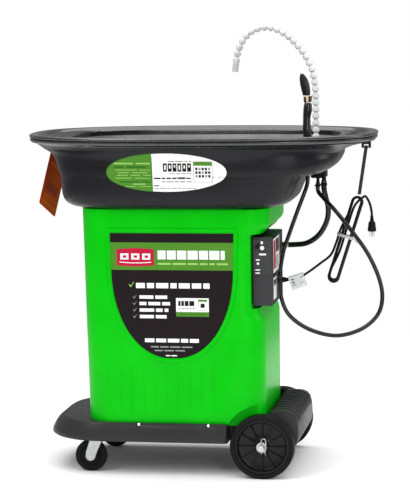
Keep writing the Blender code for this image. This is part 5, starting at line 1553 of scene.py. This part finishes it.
def port_fitting():
    bm = bmesh.new()
    place = Matrix.Translation((NOTCH_LEFT, 0.095, 0.7)) @ Matrix.Rotation(math.radians(90), 4, "Y")
    nut = [(0.0085, 0.0005), (0.0144, 0.0005), (0.015, 0.0012), (0.015, 0.0078), (0.0144, 0.0085),
           (0.0085, 0.0085)]
    lathe_into(bm, nut, 6, place, closed=True)
    stem = [(0, -0.026), (0.0085, -0.026), (0.0085, 0.01), (0.01, 0.0105), (0.01, 0.015), (0.0092, 0.0155),
            (0.01, 0.017), (0.01, 0.0232), (0, 0.0235)]
    lathe_into(bm, stem, 32, place)
    piece("port_fitting", to_mesh(bm, "port_fitting"), white_plastic(), "tank", ["wall_port"])


def hang_card():
    """The card: rounded corners, an eyelet, faint print lines, and its tie."""
    turn = math.radians(75.6)
    wide_half, tall_half, inset = 0.06, 0.1, 0.01
    lean = math.atan((wide_half - inset) / (tall_half - inset))
    level = Vector((math.cos(turn), math.sin(turn), 0))
    wide = level * math.cos(lean) - Vector((0, 0, math.sin(lean)))
    tall = level * math.sin(lean) + Vector((0, 0, math.cos(lean)))
    out = wide.cross(tall)
    hole = Vector((-0.523, 0.098, 1.006))
    corner = hole - wide * inset - tall * (2 * tall_half - inset)
    corners = [(2 * wide_half - 0.006, 0.006, -90), (2 * wide_half - 0.006, 2 * tall_half - 0.006, 0),
               (0.006, 2 * tall_half - 0.006, 90), (0.006, 0.006, 180)]
    outline = []
    for a, b, start in corners:
        outline += arc((a, b), 0.006, start, start + 90, 5)
    bm = bmesh.new()
    skin(bm, [[corner + wide * a + tall * b + out * t for a, b in outline] for t in (-0.0005, 0.0005)])

    def card(a, b):
        return corner + wide * a + tall * b

    for sign in (-1, 1):
        lift = out * (0.0007 * sign)
        for low, high, start, stop, index in ((0.168, 0.182, 0.02, 0.1, 2), (0.146, 0.158, 0.014, 0.106, 1),
                                              (0.126, 0.129, 0.014, 0.098, 1),
                                              (0.114, 0.117, 0.014, 0.106, 1),
                                              (0.102, 0.105, 0.014, 0.09, 1), (0.06, 0.09, 0.02, 0.1, 2),
                                              (0.042, 0.045, 0.014, 0.106, 1),
                                              (0.03, 0.033, 0.014, 0.086, 1),
                                              (0.016, 0.022, 0.014, 0.106, 1)):
            rows = [[card(a, b) + lift for a in (start, (start + stop) / 2, stop)] for b in (low, high)]
            grid_into(bm, rows, index)
    eyelet = Matrix.Translation(hole) @ Matrix((wide, tall, out)).transposed().to_4x4()
    ring = [(0.0022, -0.0008), (0.004, -0.001), (0.0044, -0.0006), (0.0044, 0.0006), (0.004, 0.001),
            (0.0022, 0.0008)]
    lathe_into(bm, ring, 28, eyelet, closed=True, index=3)
    data = to_mesh(bm, "hang_card")
    orange = surface("tag_orange", (0.78, 0.075, 0.002), 0.6, grain=1500, relief=0.06, mottle=0.14,
                     Specular_IOR_Level=0.05)
    data.materials.append(orange)
    data.materials.append(ink("card_pale", (0.9, 0.13, 0.008)))
    data.materials.append(ink("card_deep", (0.48, 0.04, 0.002)))
    data.materials.append(steel())
    piece("hang_card", data, None, "tag", ["hang_tag"])
    pale = surface("tie_pale", (0.6, 0.6, 0.58), 0.5)
    for name, sign in (("card_tie", 1), ("card_tie_back", -1)):
        heights = ((-0.002, 0.0016), (0.004, 0.0022), (0.012, 0.001), (0.0355, 0.0))
        loop = [hole + Vector((0, 0, z)) + out * (sign * away) for z, away in heights]
        tube(name, smooth_route(loop, 0.002), 0.0011, pale, "tag")


def finish_kept_nodes():
    """The CAD nodes that stay in view or inside get their own finishes."""
    weave = surface("strap_black", (0.014, 0.014, 0.015), 0.62, grain=2600, relief=0.45, mottle=0.25)
    felt = surface("mat_grey", (0.42, 0.43, 0.41), 0.92, grain=1600, relief=0.6, mottle=0.2)
    finishes = {
        "sink_grate": base_black(), "filter_mat": felt, "drain_strainer": steel(), "axle": steel(),
        "near_caster_bolt": steel(), "far_caster_bolt": steel(), "pump_body": box_grey(),
        "pump_screen": box_black(),
        "pump_impeller": white_plastic(), "riser_pipe": white_plastic(), "heater_element": steel(),
        "float_stem": steel(), "float_ball": white_plastic(), "flow_manifold": box_black(),
        "cord_hook": basin_black(), "hanger_strap": weave,
    }
    for name, made in finishes.items():
        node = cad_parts[name]
        node.data.materials.clear()
        node.data.materials.append(made)


def main():
    make_camera()
    brush_hose()
    supply_hose()
    mains_cord()
    make_studio()
    sink()
    deck_details()
    tank()
    arch_lips()
    oval_label()
    shield_label()
    dolly()
    step_treads()
    base_bolts()
    wheels()
    caster("near", -1)
    caster("far", 1)
    control_box()
    spout()
    brush()
    port_fitting()
    hang_card()
    finish_kept_nodes()


main()
